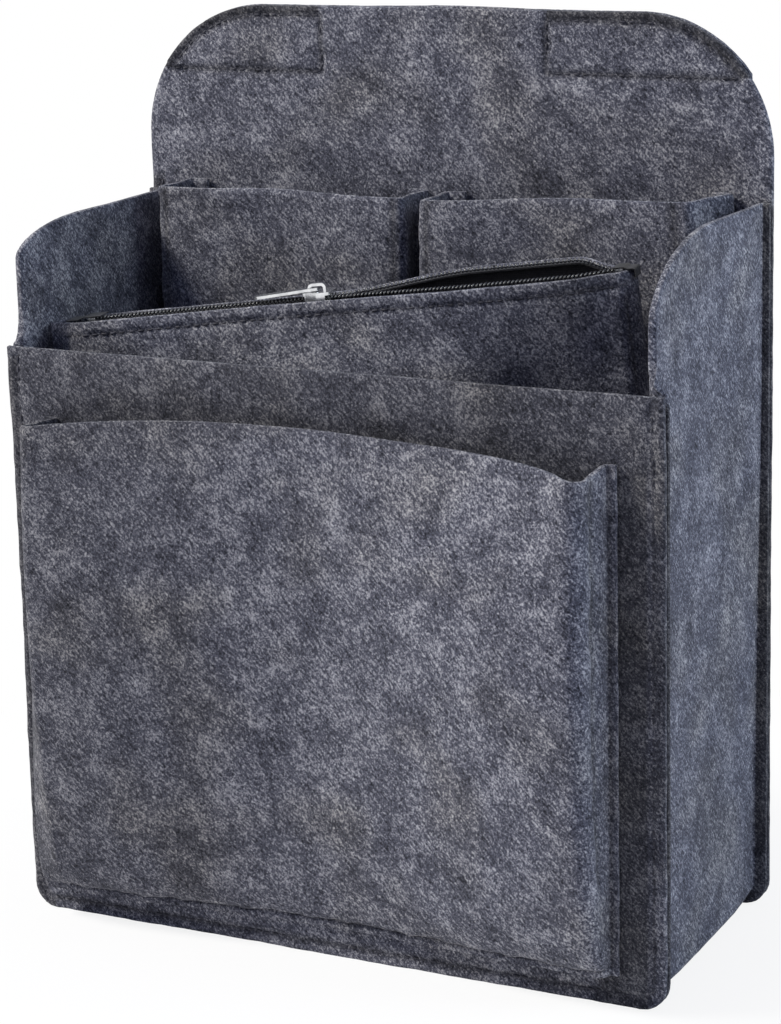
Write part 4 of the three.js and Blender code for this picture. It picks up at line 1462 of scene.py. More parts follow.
@dataclass
class BellowsPocket:
    """A pocket in one piece of felt: flange, side gusset, face, side gusset, flange.

    It lies against a panel at wall_y and fills out from its sewn bottom to its mouth. A bulge makes its
    left gusset fold outwards, and a droop lets its face sink to a bowl near the mouth.
    """

    node: str
    frame: BoxFrame
    wall_y: float
    left: float
    right: float
    bottom: float
    top: float
    tilt: float
    depth: float
    dip: float
    crown: float
    fold: float
    belly: float
    flange: float
    turn: int
    flat: Pair
    rests_on: str
    bulge: float = 0.0
    top_bulge: float = 0.0
    left_lean: float = 0.0
    right_lean: float = 0.0
    shoulder: float = 15.0
    crease: float = 2.0
    hem: float = 3.6
    edge_seam: float = 6.0
    shy: float = 4.0
    left_press: float = 0.0
    press_power: int = 4
    left_fold: float = 6.0
    droop: float = 0.0
    droop_level: float = 0.45
    left_sink: float = 0.0
    sink_reach: float = 45.0
    curl: float = 14.0
    curl_share: float = 0.45
    bowl_low: float = 0.2
    bowl_rise: Pair = (0.68, 1.0)
    fold_level: float = 0.8
    fold_edge: float = 0.96
    fold_fade: float = 4.0
    # Painted shade: on the bulging left gusset, fading upwards, and on the face, darkest at its left and
    # fading towards its right.
    gusset_shade: float = 0.6
    shade_fade: Pair = (0.5, 0.95)
    face_shade: float = 0.0
    face_fade: Pair = (0.12, 0.8)
    face_steps: int = 44
    step: float = 4.5
    calm: float = 0.7
    bottom_lines: Pair = (8.0, 14.0)
    face_span: Pair = (0.12, 0.88)
    sewn_from: float = 0.99
    flange_seam_end: float = 0.02
    gusset_seam_end: float = 0.2
    face_seam_end: float = 0.1
    bottom_steps: int = 30
    seam_steps: int = 20
    seed: int = 2
    ripple: Ripple = Ripple(21, 0.45, 70.0)

    def __post_init__(self) -> None:
        """Decides how finely each stretch of the cross-section is divided."""
        corners = folded_line(self.corners(1.0))
        gaps = np.linalg.norm(np.diff(corners, axis=0), axis=1)
        self.parts = np.maximum(1, np.ceil(gaps / self.step).astype(int))
        self.count = int(self.parts.sum()) + 1
        self.cache: dict[float, Array] = {}

    def filled(self, rise: float) -> float:
        """Works out how far the pocket fills out.

        Args:
            rise: Share of the height.

        Returns:
            1 where it is full.
        """
        start = self.hem / (self.top - self.bottom)
        share = float(clamp01((rise - start) / (self.belly - start)))
        return math.sqrt(1.0 - (1.0 - share) ** 2)

    def hold(self, x: Array | float, rise: float) -> Array | float:
        """Works out how firmly the side folds hold the face out.

        Args:
            x: Place across.
            rise: Share of the height.

        Returns:
            1 at the folds, less between them.
        """
        half = (self.right - self.left) / 2
        inside = np.minimum(x - self.left, self.right - x)
        even = 1.0 - smooth(self.shoulder, half, inside)
        if not self.droop:
            return even
        bowl = (1.0 - clamp01(inside / half)) ** 2
        bowl = np.where(x - self.left > half, mix(bowl, self.tip(x), self.curl_share), bowl)
        return mix(even, bowl, mix(self.bowl_low, 1.0, smooth(*self.bowl_rise, rise)))

    def tip(self, x: Array | float) -> Array | float:
        """Returns a share that is 1 at the right fold and fades quickly to its left."""
        return np.exp(-np.maximum(self.right - x, 0.0) / self.curl)

    def corners(self, rise: float) -> list[tuple[float, ...]]:
        """Draws the cross-section.

        Args:
            rise: Share of the height.

        Returns:
            Its corners (x, distance from the panel), with a radius where it is rounded.
        """
        flange_at = LAYER_GAP + FELT / 2
        layer = FELT + LAYER_GAP
        tight = FELT / 2 + LAYER_GAP / 4
        full = self.filled(rise)
        out_at = self.depth - FELT / 2
        tight_at = flange_at + 2 * FOLD_RADIUS + LAYER_GAP
        left_start = flange_at + 2 * layer + LAYER_GAP if self.bulge else tight_at
        left_at = mix(left_start, out_at - self.left_press * rise ** self.press_power, full)
        right_at = mix(tight_at, out_at, full)
        middle_at = mix(flange_at, out_at - self.dip, full)
        soft = mix(FOLD_RADIUS, self.fold, full)
        crease = self.crease * full ** 2
        wall_left, wall_right = self.left + FELT / 2, self.right - FELT / 2
        left_push, right_push = self.left_lean * rise ** 2, self.right_lean * rise ** 2
        face = []
        for share in np.linspace(0.0, 1.0, self.face_steps + 1):
            x = mix(wall_left + 2 * soft, wall_right - 2 * soft, share)
            end_at = left_at if share < 0.5 else right_at
            out = float(mix(middle_at, end_at, self.hold(x, rise)))
            face.append((x - mix(left_push, right_push, share), out))
        if self.bulge:
            halfway = (flange_at + layer + left_at) / 2
            bulge = mix(self.bulge, self.top_bulge, smooth(0.0, 1.0, rise))
            bulge_x = wall_left - left_push / 2 - bulge
            gusset = [
                (wall_left, flange_at, tight), (wall_left, flange_at + layer, tight),
                (bulge_x, halfway - layer / 2, tight), (bulge_x, halfway + layer / 2, tight),
            ]
        else:
            gusset = [
                (wall_left, flange_at, FOLD_RADIUS),
                (wall_left - left_push / 2 + crease, (flange_at + left_at) / 2),
            ]
        return [
            (wall_left + self.turn * self.flange, flange_at),
            *gusset,
            (wall_left - left_push, left_at, min(soft, self.left_fold)),
            *face,
            (wall_right - right_push, right_at, soft),
            (wall_right - right_push / 2 - crease, (flange_at + right_at) / 2),
            (wall_right, flange_at, FOLD_RADIUS),
            (wall_right - self.turn * self.flange, flange_at),
        ]

    def section(self, rise: float) -> Array:
        """Divides the cross-section.

        Args:
            rise: Share of the height.

        Returns:
            Its points (x, distance from the panel, height).
        """
        key = round(rise, 6)
        if key not in self.cache:
            corners = folded_line(self.corners(float(np.clip(rise, 0.0, 1.0))))
            legs = zip(corners[:-1], corners[1:], self.parts)
            line = [np.linspace(a, b, part, endpoint=False) for a, b, part in legs]
            x, away = np.concatenate([*line, corners[-1:]]).T
            held = self.hold(x, rise)
            end = 1.0 - 2.0 * clamp01((x - self.left) / (self.right - self.left))
            height = self.top + self.tilt * end + self.crown * (1.0 - held) - self.bottom
            sunk = self.droop * self.tip(x) * (away / self.depth - self.droop_level)
            sunk = sunk + self.left_sink * np.exp(-np.maximum(x - self.left, 0.0) / self.sink_reach)
            z = self.bottom + rise * height - rise ** 2 * sunk
            away = away + self.filled(rise) * self.ripple.at(x, z) * (1.0 - self.calm * held)
            self.cache[key] = np.stack([x, away, z], axis=1)
        return self.cache[key]

    def surface(self, u: Array, v: Array) -> Array:
        """Works out points of the middle surface.

        Args:
            u: Number of the section's point.
            v: Share of the height.

        Returns:
            Points in the shared frame.
        """
        u, v = grids(u, v)
        flat_u, flat_v = u.ravel(), v.ravel()
        points = np.empty((flat_u.size, 3))
        for rise in np.unique(flat_v):
            rows = flat_v == rise
            line = self.section(float(rise))
            for k in range(3):
                points[rows, k] = np.interp(flat_u[rows], np.arange(self.count), line[:, k])
        points = points.reshape(*u.shape, 3)
        return self.frame.place(points[..., 0], self.wall_y - points[..., 1], points[..., 2])

    def column(self, x: float, rise: float) -> float:
        """Finds a place on the face.

        Args:
            x: Place across.
            rise: Share of the height.

        Returns:
            The surface's nearest column.
        """
        order = np.arange(self.count)
        first, last = self.face_span
        span = order[(order > first * self.count) & (order < last * self.count)]
        return float(span[np.argmin(np.abs(self.section(rise)[span, 0] - x))])

    def seams(self) -> list[Seam]:
        """Lays the seams along the bottom, and down the flanges and a gusset or the face's sides.

        Returns:
            The seams.
        """
        low = self.hem / (self.top - self.bottom)
        bottom = np.linspace(self.left + self.shy, self.right - self.shy, self.bottom_steps)
        if self.turn < 0:
            last = self.section(1.0)[-self.count // 6:, 1]
            gusset = float(self.count - len(last) + np.argmin(np.abs(last - self.depth / 2)))
            upright = [(column, self.flange_seam_end) for column in (1.0, self.count - 2.0)]
            upright.append((gusset, self.gusset_seam_end))
        else:
            sides = (self.left + self.edge_seam, self.right - self.right_lean - self.edge_seam)
            upright = [(self.column(x, 1.0), self.face_seam_end) for x in sides]
        seams = [Seam([(self.column(x, low), low) for x in bottom], Face.REAR)]
        for column, end in upright:
            rises = np.linspace(self.sewn_from, end, self.seam_steps)
            seams.append(Seam([(column, rise) for rise in rises], Face.REAR))
        return seams

    def sheet(self) -> Sheet:
        """Lays out the pocket.

        Returns:
            The pocket as a sheet.
        """
        height = self.top - self.bottom
        rows = graded(0.0, height, self.step, (self.hem, *self.bottom_lines)) / height
        columns = np.arange(self.count, dtype=float)
        return Sheet(self.surface, columns, rows, seams=self.seams(), margin=self.margin, seed=self.seed)

    def margin(self, u: Array, v: Array) -> Array:
        """Works out where shade is painted on the felt.

        Args:
            u: Number of the section's point.
            v: Share of the height.

        Returns:
            Shares from 0 to 1 of painted shade, on a bulging left gusset and the face's left.
        """
        first = self.section(self.fold_level)[:self.count // 3, 1]
        fold = int(np.argmax(first > self.fold_edge * first.max()))
        folded = 1.0 - smooth(fold - self.fold_fade, fold, u)
        # Painted shade on the bulging left gusset and on the left of the face.
        gusset = self.gusset_shade * bool(self.bulge) * folded * (1.0 - smooth(*self.shade_fade, v))
        return np.maximum(gusset, self.face_shade * (1.0 - smooth(*self.face_fade, u / self.count)))

    def piece(self) -> ClothPiece:
        """Returns the pocket as a piece of the box."""
        return ClothPiece(self.node, self.sheet(), Body.SHELL, self.flat, Held.FOLDED, (self.rests_on,))


@dataclass
class OpenBox:
    """The sewn box with its pockets and its band."""

    front_height: float = 235.0
    back_height: float = 360.0
    back_face: float = 121.0
    wall_inside: float = 132.0
    left_margin: float = 10.0
    right_margin: float = 5.0
    left_pocket: float = 116.0
    slot: float = 5.0
    gussets: float = 74.0

    def __post_init__(self) -> None:
        """Finds the box in the frame."""
        self.frame = BoxFrame(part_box("front_panel")[0].y / MM)
        self.band = GrabBand(self.frame)

    def panels(self) -> list[ClothPiece]:
        """Cuts the front and the back panel.

        Returns:
            Both pieces.
        """
        # Front panel: painted shade towards its top, a painted shadow beside the pocket's right side and a
        # left edge painted darker than its right.
        front = Panel(
            "front_panel", self.frame, height=self.front_height, middle=FELT / 2,
            sewn_height=self.front_height - FELT, curl=1.5, shade=0.62, margins=(0.9, 0.3, 0.0),
            flattened=(110.0, 135.0, 212.0), seed=11,
        )
        back = Panel(
            "back_panel", self.frame, height=self.back_height, middle=self.back_face + FELT / 2,
            sewn_height=286.0, top_radius=self.band.top_radius, ripple=Ripple(4, 0.4, 110.0), seed=10,
            band=self.band,
        )
        return [front.piece(), back.piece()]

    def front_pocket(self) -> BellowsPocket:
        """Sizes the wide pocket on the front.

        Returns:
            The pocket.
        """
        # The face of the pocket carries painted shade, darkest at its left.
        return BellowsPocket(
            "front_pocket", self.frame, wall_y=0.0, left=-119.0, right=119.0, bottom=13.0, top=209.0,
            tilt=2.6, depth=27.0, dip=15.0, crown=5.6, fold=6.0, belly=0.6, flange=4.5, turn=-1,
            flat=(312.0, 200.0), rests_on="front_panel", bulge=11.0, top_bulge=-1.0, left_lean=8.0,
            right_lean=1.0, left_press=3.0, left_fold=2.5, left_sink=3.4, droop=8.0, face_shade=0.66,
        )

    def back_pockets(self) -> list[BellowsPocket]:
        """Sizes the two pockets inside the back panel.

        Returns:
            The left and the right pocket.
        """
        start = -self.wall_inside + self.left_margin
        split = start + self.left_pocket
        end = self.wall_inside - self.right_margin
        spans = (
            ("back_pocket_left", start, split, 287.0, 0.0, 0.0, 6),
            ("back_pocket_right", split + self.slot, end, 289.0, -2.5, 10.0, 7),
        )
        return [
            BellowsPocket(
                node, self.frame, wall_y=self.back_face, left=left, right=right, bottom=130.0, top=top,
                tilt=tilt, depth=30.0, dip=2.0, crown=1.0, fold=3.0, belly=0.38, flange=9.0, turn=1,
                flat=(right - left + self.gussets, 170.0), rests_on="back_panel", right_lean=lean,
                face_steps=24, seed=seed,
            )
            for node, left, right, top, tilt, lean, seed in spans
        ]

    def build(self, finishes: Finishes) -> None:
        """Builds the box.

        Args:
            finishes: The finishes of the part.
        """
        pieces = [
            *self.panels(),
            GussetStrip(self.frame).piece(),
            self.band.piece(),
            self.front_pocket().piece(),
            *(pocket.piece() for pocket in self.back_pockets()),
        ]
        for piece in pieces:
            piece.make(finishes)


class Side(Enum):
    """The two sides of the pouch, by the sign of their place along its depth."""

    FRONT = -1
    BACK = 1

    def node(self, kind: str) -> str:
        """Returns the name of this side's node of a kind, such as zip_coil."""
        return f"{kind}_{self.name.lower()}"


@dataclass
class ZipPouch:
    """Loose pouch of two felt sheets with a coil zip between their upper edges."""

    length: float = 238.0
    height: float = 235.0
    base_reach: float = 60.0
    lip_reach: float = 80.0
    lip_rise: float = 4.0
    opening: float = 5.0
    mouth_full: float = 0.5
    mouth_close: float = 0.85
    zip_end: float = 16.0
    zip_right_end: float = 4.0
    right_close: float = 6.0
    zip_half: float = 7.0
    zip_sink: float = 1.0
    tape: float = 0.7
    tape_drop: float = 10.0
    stop: float = 3.0
    coil_pitch: float = 1.57
    coil_width: float = 2.6
    coil_height: float = 1.9
    coil_root: float = 1.0
    coil_reach: float = 0.4
    coil_wire: float = 0.36
    slider: float = 112.0
    slider_nose: float = 6.5
    spread: float = 2.4
    channel: Pair = (4.0, 1.0)
    belly: float = 13.0
    belly_along: Quad = (15.0, 90.0, 165.0, 205.0)
    belly_down: Quad = (2.0, 50.0, 80.0, 170.0)
    tab: float = 0.5
    tab_half: float = 5.1
    tab_over_coil: float = 0.05
    tab_over_felt: float = 0.45
    tab_left: Quad = (8.0, 3.0, 0.6, 3.0)
    tab_right: Quad = (0.6, 1.8, 0.9, 3.5)
    tab_bend: float = 1.0
    sewn_inset: float = 4.0
    sewn_below: float = 5.0
    side_seam_top: float = 10.0
    lip_seam_start: float = 8.0
    calm_sides: float = 30.0
    calm_foot: float = 40.0
    calm_lip: Pair = (40.0, 12.0)
    ripple: Ripple = Ripple(31, 0.5, 75.0)
    ripple_shift: float = 300.0
    steps: Pair = (4.5, 5.0)
    stations: int = 90
    tape_arc: int = 4
    tape_least: float = 0.4
    tab_least: float = 0.3
    seed: int = 12
    tab_steps: tuple[int, int] = (9, 13)
    coil_samples: int = 14
    coil_sides: int = 6

    def __post_init__(self) -> None:
        """Finds the pouch's own axes and corner in the frame."""
        joints = frame["record"]["behaviour"]["joints"]
        axes = {joint["name"]: unit(np.asarray(joint["axis"], float)) for joint in joints}
        self.right, self.rear = axes["zip_slide"], axes["pull_flip"]
        self.up = np.cross(self.right, self.rear)
        meshes = (frame["nodes"][side.node("pouch")].data for side in Side)
        front, back = (np.array([v.co[:] for v in mesh.vertices]) / MM for mesh in meshes)
        left = np.min(front @ self.right)
        middle = (np.max(front @ self.rear) + np.min(back @ self.rear)) / 2
        low = min(np.min(front @ self.up), np.min(back @ self.up))
        self.origin = left * self.right + middle * self.rear + low * self.up
        self.chain_start = self.zip_end + LAYER_GAP + self.stop + LAYER_GAP
        self.right_end = self.length - self.zip_right_end
        self.chain_end = self.right_end - self.stop - 2 * LAYER_GAP

    def place(self, x: Array, y: Array, z: Array) -> Array:
        """Returns points of the pouch in the shared frame."""
        x, y, z = np.broadcast_arrays(x, y, z)
        return self.origin + x[..., None] * self.right + y[..., None] * self.rear + z[..., None] * self.up

    def mouth(self, x: Array) -> Array:
        """Works out how far the mouth opens.

        Args:
            x: Place along the zip.

        Returns:
            Share of the widest opening.
        """
        nose = self.slider + self.slider_nose
        opened = clamp01((x - nose) / (self.chain_end - nose))
        return smooth(0.0, self.mouth_full, opened) * (1.0 - smooth(self.mouth_close, 1.0, opened))

    def lift(self, x: Array, side: Side) -> Array:
        """Returns how much higher a lip with its row stands; only the rear one rises."""
        return (self.lip_rise if side is Side.BACK else 0.0) * self.mouth(x)

    def row_spread(self, x: Array) -> Array:
        """Works out how far the rows part.

        Args:
            x: Place along the zip.

        Returns:
            Distance of either row from the middle.
        """
        channel = smooth(self.slider - self.channel[0], self.slider + self.channel[1], x)
        sewn = 1.0 - smooth(self.chain_end - 2 * self.stop, self.chain_end, x)
        return self.spread * channel * sewn + self.opening * self.mouth(x)

    def lip_spread(self, x: Array) -> Array:
        """Works out how far the felt parts beside the chain.

        Args:
            x: Place along the zip.

        Returns:
            Distance by which either lip moves out.
        """
        parting = smooth(self.slider - 2 * self.zip_end, self.slider + self.zip_end, x)
        sewn = 1.0 - smooth(self.right_end - 2 * self.zip_end, self.right_end, x)
        return self.spread * parting * sewn + self.opening * self.mouth(x)

    def lip_share(self, height: Array) -> Array:
        """Returns how much of the lip's bend shows at a height."""
        return clamp01((height - self.height + self.lip_reach) / self.lip_reach) ** 2

    def gap(self, x: Array, height: Array) -> Array:
        """Works out the room inside the pouch.

        Args:
            x: Place along the zip.
            height: Height in the pouch.

        Returns:
            Distance from its middle to the inner face of either sheet.
        """
        left, right = smooth(0.0, self.zip_end, x), smooth(0.0, self.right_close, self.length - x)
        ends = np.minimum(left, right)
        parted = np.sqrt(1.0 - (1.0 - clamp01(height / self.base_reach)) ** 2)
        opened = self.lip_spread(x) * self.lip_share(height)
        return LAYER_GAP / 2 + ends * parted * (self.zip_half - LAYER_GAP / 2 + opened)

    def sheet_surface(self, side: Side) -> SurfaceFn:
        """Shapes a felt sheet.

        Args:
            side: The sheet's side of the pouch.

        Returns:
            Its middle surface; u runs along the zip, v up.
        """
        def surface(u: Array, v: Array) -> Array:
            """Works out points of the sheet.

            Args:
                u: Place along the zip.
                v: Height in the pouch.

            Returns:
                Points in the shared frame.
            """
            u, v = grids(u, v)
            inside = np.clip(u, 0.0, self.length)
            lift = self.lift(inside, side) * self.lip_share(v)
            wave = self.ripple.at(u, v + self.ripple_shift * side.value)
            calm_start, calm_end = (self.height - below for below in self.calm_lip)
            loose = smooth(0.0, self.calm_sides, np.minimum(inside, self.length - inside))
            loose = loose * smooth(0.0, self.calm_foot, v) * (1.0 - smooth(calm_start, calm_end, v))
            belly = self.filled(inside, v) if side is Side.FRONT else 0.0
            out = self.gap(inside, v) + FELT / 2 + belly
            return self.place(u, side.value * out + wave * loose, v + lift)
        return surface

    def filled(self, x: Array, height: Array) -> Array:
        """Works out the belly of the front sheet.

        Args:
            x: Place along the zip.
            height: Height in the pouch.

        Returns:
            How far it stands out.
        """
        total = np.asarray(self.belly)
        spans = ((x, self.belly_along), (self.height - height, self.belly_down))
        for value, (start, full, fall, end) in spans:
            total = total * smooth(start, full, value) * (1.0 - smooth(fall, end, value))
        return total

    def felt_sheet(self, side: Side) -> ClothPiece:
        """Cuts one of the two felt sheets.

        Args:
            side: The sheet's side of the pouch.

        Returns:
            The sheet as a piece of the pouch.
        """
        inset, end = self.sewn_inset, self.length - self.sewn_inset
        side_top, lip = self.height - self.side_seam_top, self.height - self.sewn_below
        step, step_up = self.steps
        across = graded(0.0, self.length, step, (inset, end))
        along = graded(0.0, self.height, step_up, (inset, lip))
        face = Face.FRONT if side is Side.FRONT else Face.REAR
        around = [(inset, side_top), (inset, inset), (end, inset), (end, side_top)]
        beside_zip = [(self.zip_end - self.lip_seam_start, lip), (end, lip)]
        seams = [Seam(path, face, FINE_THREAD) for path in (around, beside_zip)]
        seed = self.seed + side.value
        sheet = Sheet(self.sheet_surface(side), across, along, seams=seams, seed=seed)
        flat = (self.length, self.height)
        return ClothPiece(side.node("pouch"), sheet, Body.POUCH, flat, Held.FOLDED, ("gusset_strip",))

    def tape_piece(self, side: Side) -> ClothPiece:
        """Cuts the tape of one row.

        Args:
            side: The row's side of the pouch.

        Returns:
            The tape as a piece of the pouch.
        """
        top = self.height - self.zip_sink
        stations = np.linspace(self.zip_end, self.right_end, self.stations)

        def line(x: float) -> Array:
            """Draws the tape's cross-section.

            Args:
                x: Place along the zip.

            Returns:
                Its points (distance from the middle, height over the tape's top).
            """
            def gap(down: float) -> float:
                """Returns the room beside the felt at a depth below the tape's top."""
                at = self.gap(np.asarray(x), np.asarray(top - down))
                return float(at) - LAYER_GAP - self.tape / 2
            middle = -self.tape / 2
            return folded_line([
                (float(self.row_spread(np.asarray(x))) + self.coil_root, middle),
                (gap(-middle), middle, self.tape),
                (gap(self.tape_drop / 2), -self.tape_drop / 2),
                (gap(self.tape_drop), -self.tape_drop),
            ], arc_steps=self.tape_arc, least=self.tape_least)

        lines = np.stack([line(x) for x in stations])

        def surface(u: Array, v: Array) -> Array:
            """Works out points of the tape.

            Args:
                u: Place along the zip.
                v: Number of the section's point.

            Returns:
                Points in the shared frame.
            """
            u, v = grids(u, v)
            row = np.interp(u, stations, np.arange(len(stations)))
            low = np.clip(np.floor(row).astype(int), 0, len(stations) - 2)
            knot = np.clip(np.floor(v).astype(int), 0, lines.shape[1] - 2)
            a, b = (row - low)[..., None], (v - knot)[..., None]
            here, next_knot = (mix(lines[low, k], lines[low + 1, k], a) for k in (knot, knot + 1))
            p = mix(here, next_knot, b)
            return self.place(u, side.value * p[..., 0], top + p[..., 1] + self.lift(u, side))

        sheet = self.woven(surface, stations, np.arange(lines.shape[1], dtype=float), self.tape)
        flat = (self.right_end - self.zip_end, self.zip_half + self.tape_drop)
        felt = (side.node("pouch"),)
        return ClothPiece(side.node("zip_tape"), sheet, Body.POUCH, flat, Held.STRETCHED, felt, Slot.TAPE)

    @staticmethod
    def woven(surface: SurfaceFn, across: Array, along: Array, thickness: float) -> Sheet:
        """Returns a sheet of woven tape, which has crisp edges and no fuzz."""
        return Sheet(surface, across, along, thickness, soft_edge=0.2, edge_bulge=0.05, fuzz=0.0)

    def end_tab(self, right: bool) -> ClothPiece:
        """Cuts the bit of tape that is sewn over the stops at one end of the chain.

        Args:
            right: Whether it is the right end.

        Returns:
            The tab as a piece of the pouch.
        """
        coil_top = self.height - self.zip_sink + LAYER_GAP + self.coil_height
        over = coil_top + self.tab / 2 + self.tab_over_coil
        low = self.height + self.tab / 2 + self.tab_over_felt
        if right:
            fall, foot, past, down = self.tab_right
            path = [
                (self.chain_end, over),
                (self.right_end + fall, over, self.tab_bend),
                (self.right_end + foot, low, self.tab_bend),
                (self.length + past, low, self.tab_bend),
                (self.length + past, low - down),
            ]
        else:
            start, foot, rise, past = self.tab_left
            path = [
                (self.zip_end - start, low),
                (self.zip_end - foot, low, self.tab_bend),
                (self.zip_end - rise, over, self.tab_bend),
                (self.chain_start + past, over),
            ]
        line = folded_line(path, arc_steps=self.tape_arc, least=self.tab_least)
        run = runs(line)

        def surface(u: Array, v: Array) -> Array:
            """Returns points of the tab; u runs across the zip, v along it."""
            u, v = grids(u, v)
            return self.place(np.interp(v, run, line[:, 0]), u, np.interp(v, run, line[:, 1]))

        wide, long = self.tab_steps
        across = np.linspace(-self.tab_half, self.tab_half, wide)
        along = np.unique(np.concatenate([run, np.linspace(0.0, run[-1], long)]))
        sheet = self.woven(surface, across, along, self.tab)
        ends = (("zip_tab_left", "zip_stop_bottom"), ("zip_tab_right", "zip_stop_top_front"))
        node, stop = ends[right]
        flat = (2 * self.tab_half, float(run[-1]))
        return ClothPiece(node, sheet, Body.POUCH, flat, Held.FOLDED, (stop,), Slot.TAPE, extra=True)

    def coil(self, side: Side, finishes: Finishes) -> bpy.types.Object:
        """Winds one row of the zip as a flat spiral of nylon wire.

        Args:
            side: The row's side of the pouch.
            finishes: The finishes of the part.

        Returns:
            The row's object.
        """
        turns = (self.chain_end - self.chain_start) / self.coil_pitch
        count = int(turns * self.coil_samples)
        angle = np.linspace(0.0, math.tau * turns, count) + (math.pi if side is Side.BACK else 0.0)
        x = np.linspace(self.chain_start + self.coil_wire, self.chain_end - self.coil_wire, count)
        wide = (self.coil_width + self.coil_reach) / 2 - self.coil_wire
        tall = self.coil_height / 2 - self.coil_wire
        y = self.row_spread(x) + (self.coil_width - self.coil_reach) / 2 + wide * np.cos(angle)
        z = self.height - self.zip_sink + LAYER_GAP + self.coil_height / 2 + tall * np.sin(angle)
        z = z + self.lift(x, side)
        way = self.place(x, side.value * y, z)
        ahead = unit(np.gradient(way, axis=0))
        first = unit(np.cross(ahead, self.right))
        points = tube_points(way, first, np.cross(ahead, first), self.coil_wire, self.coil_sides)
        node = side.node("zip_coil")
        row = mesh_object(f"{node}_loops", points, tube_faces(0, count, self.coil_sides), sharp=ROUND_ANGLE)
        dress(row, finishes.coil, Body.POUCH)
        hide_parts(node)
        LOG.info("%s: %d turns", row.name, int(turns))
        return row

    def build(self, finishes: Finishes) -> None:
        """Builds the pouch and its zip.

        Args:
            finishes: The finishes of the part.
        """
        for side in Side:
            self.felt_sheet(side).make(finishes)
            self.tape_piece(side).make(finishes)
            self.coil(side, finishes)
            self.end_tab(right=side is Side.BACK).make(finishes)


@dataclass(frozen=True)
class ZipMetal:
    """Slider, pull and end stops, which keep their CAD shape."""

    nodes: tuple[str, ...] = (
        "slider_body", "pull_tab", "zip_stop_bottom", "zip_stop_top_front", "zip_stop_top_back",
    )
    edge: float = 0.25
    edge_angle: float = 40.0
    edge_steps: int = 2

    def build(self, finishes: Finishes) -> None:
        """Plates the metal pieces and breaks their edges.

        Args:
            finishes: The finishes of the part.
        """
        for name in self.nodes:
            node = frame["nodes"][name]
            node.data.materials.clear()
            node.data.materials.append(finishes.nickel)
            bevel = node.modifiers.new("broken_edges", "BEVEL")
            bevel.width = self.edge * MM
            bevel.segments = self.edge_steps
            bevel.limit_method = "ANGLE"
            bevel.angle_limit = math.radians(self.edge_angle)
            LOG.info("%s: plated", name)


@dataclass(frozen=True)
class Lamp:
    """One soft lamp of the studio."""

    name: str
    place: Triple
    power: float
    size: float
    colour: Colour


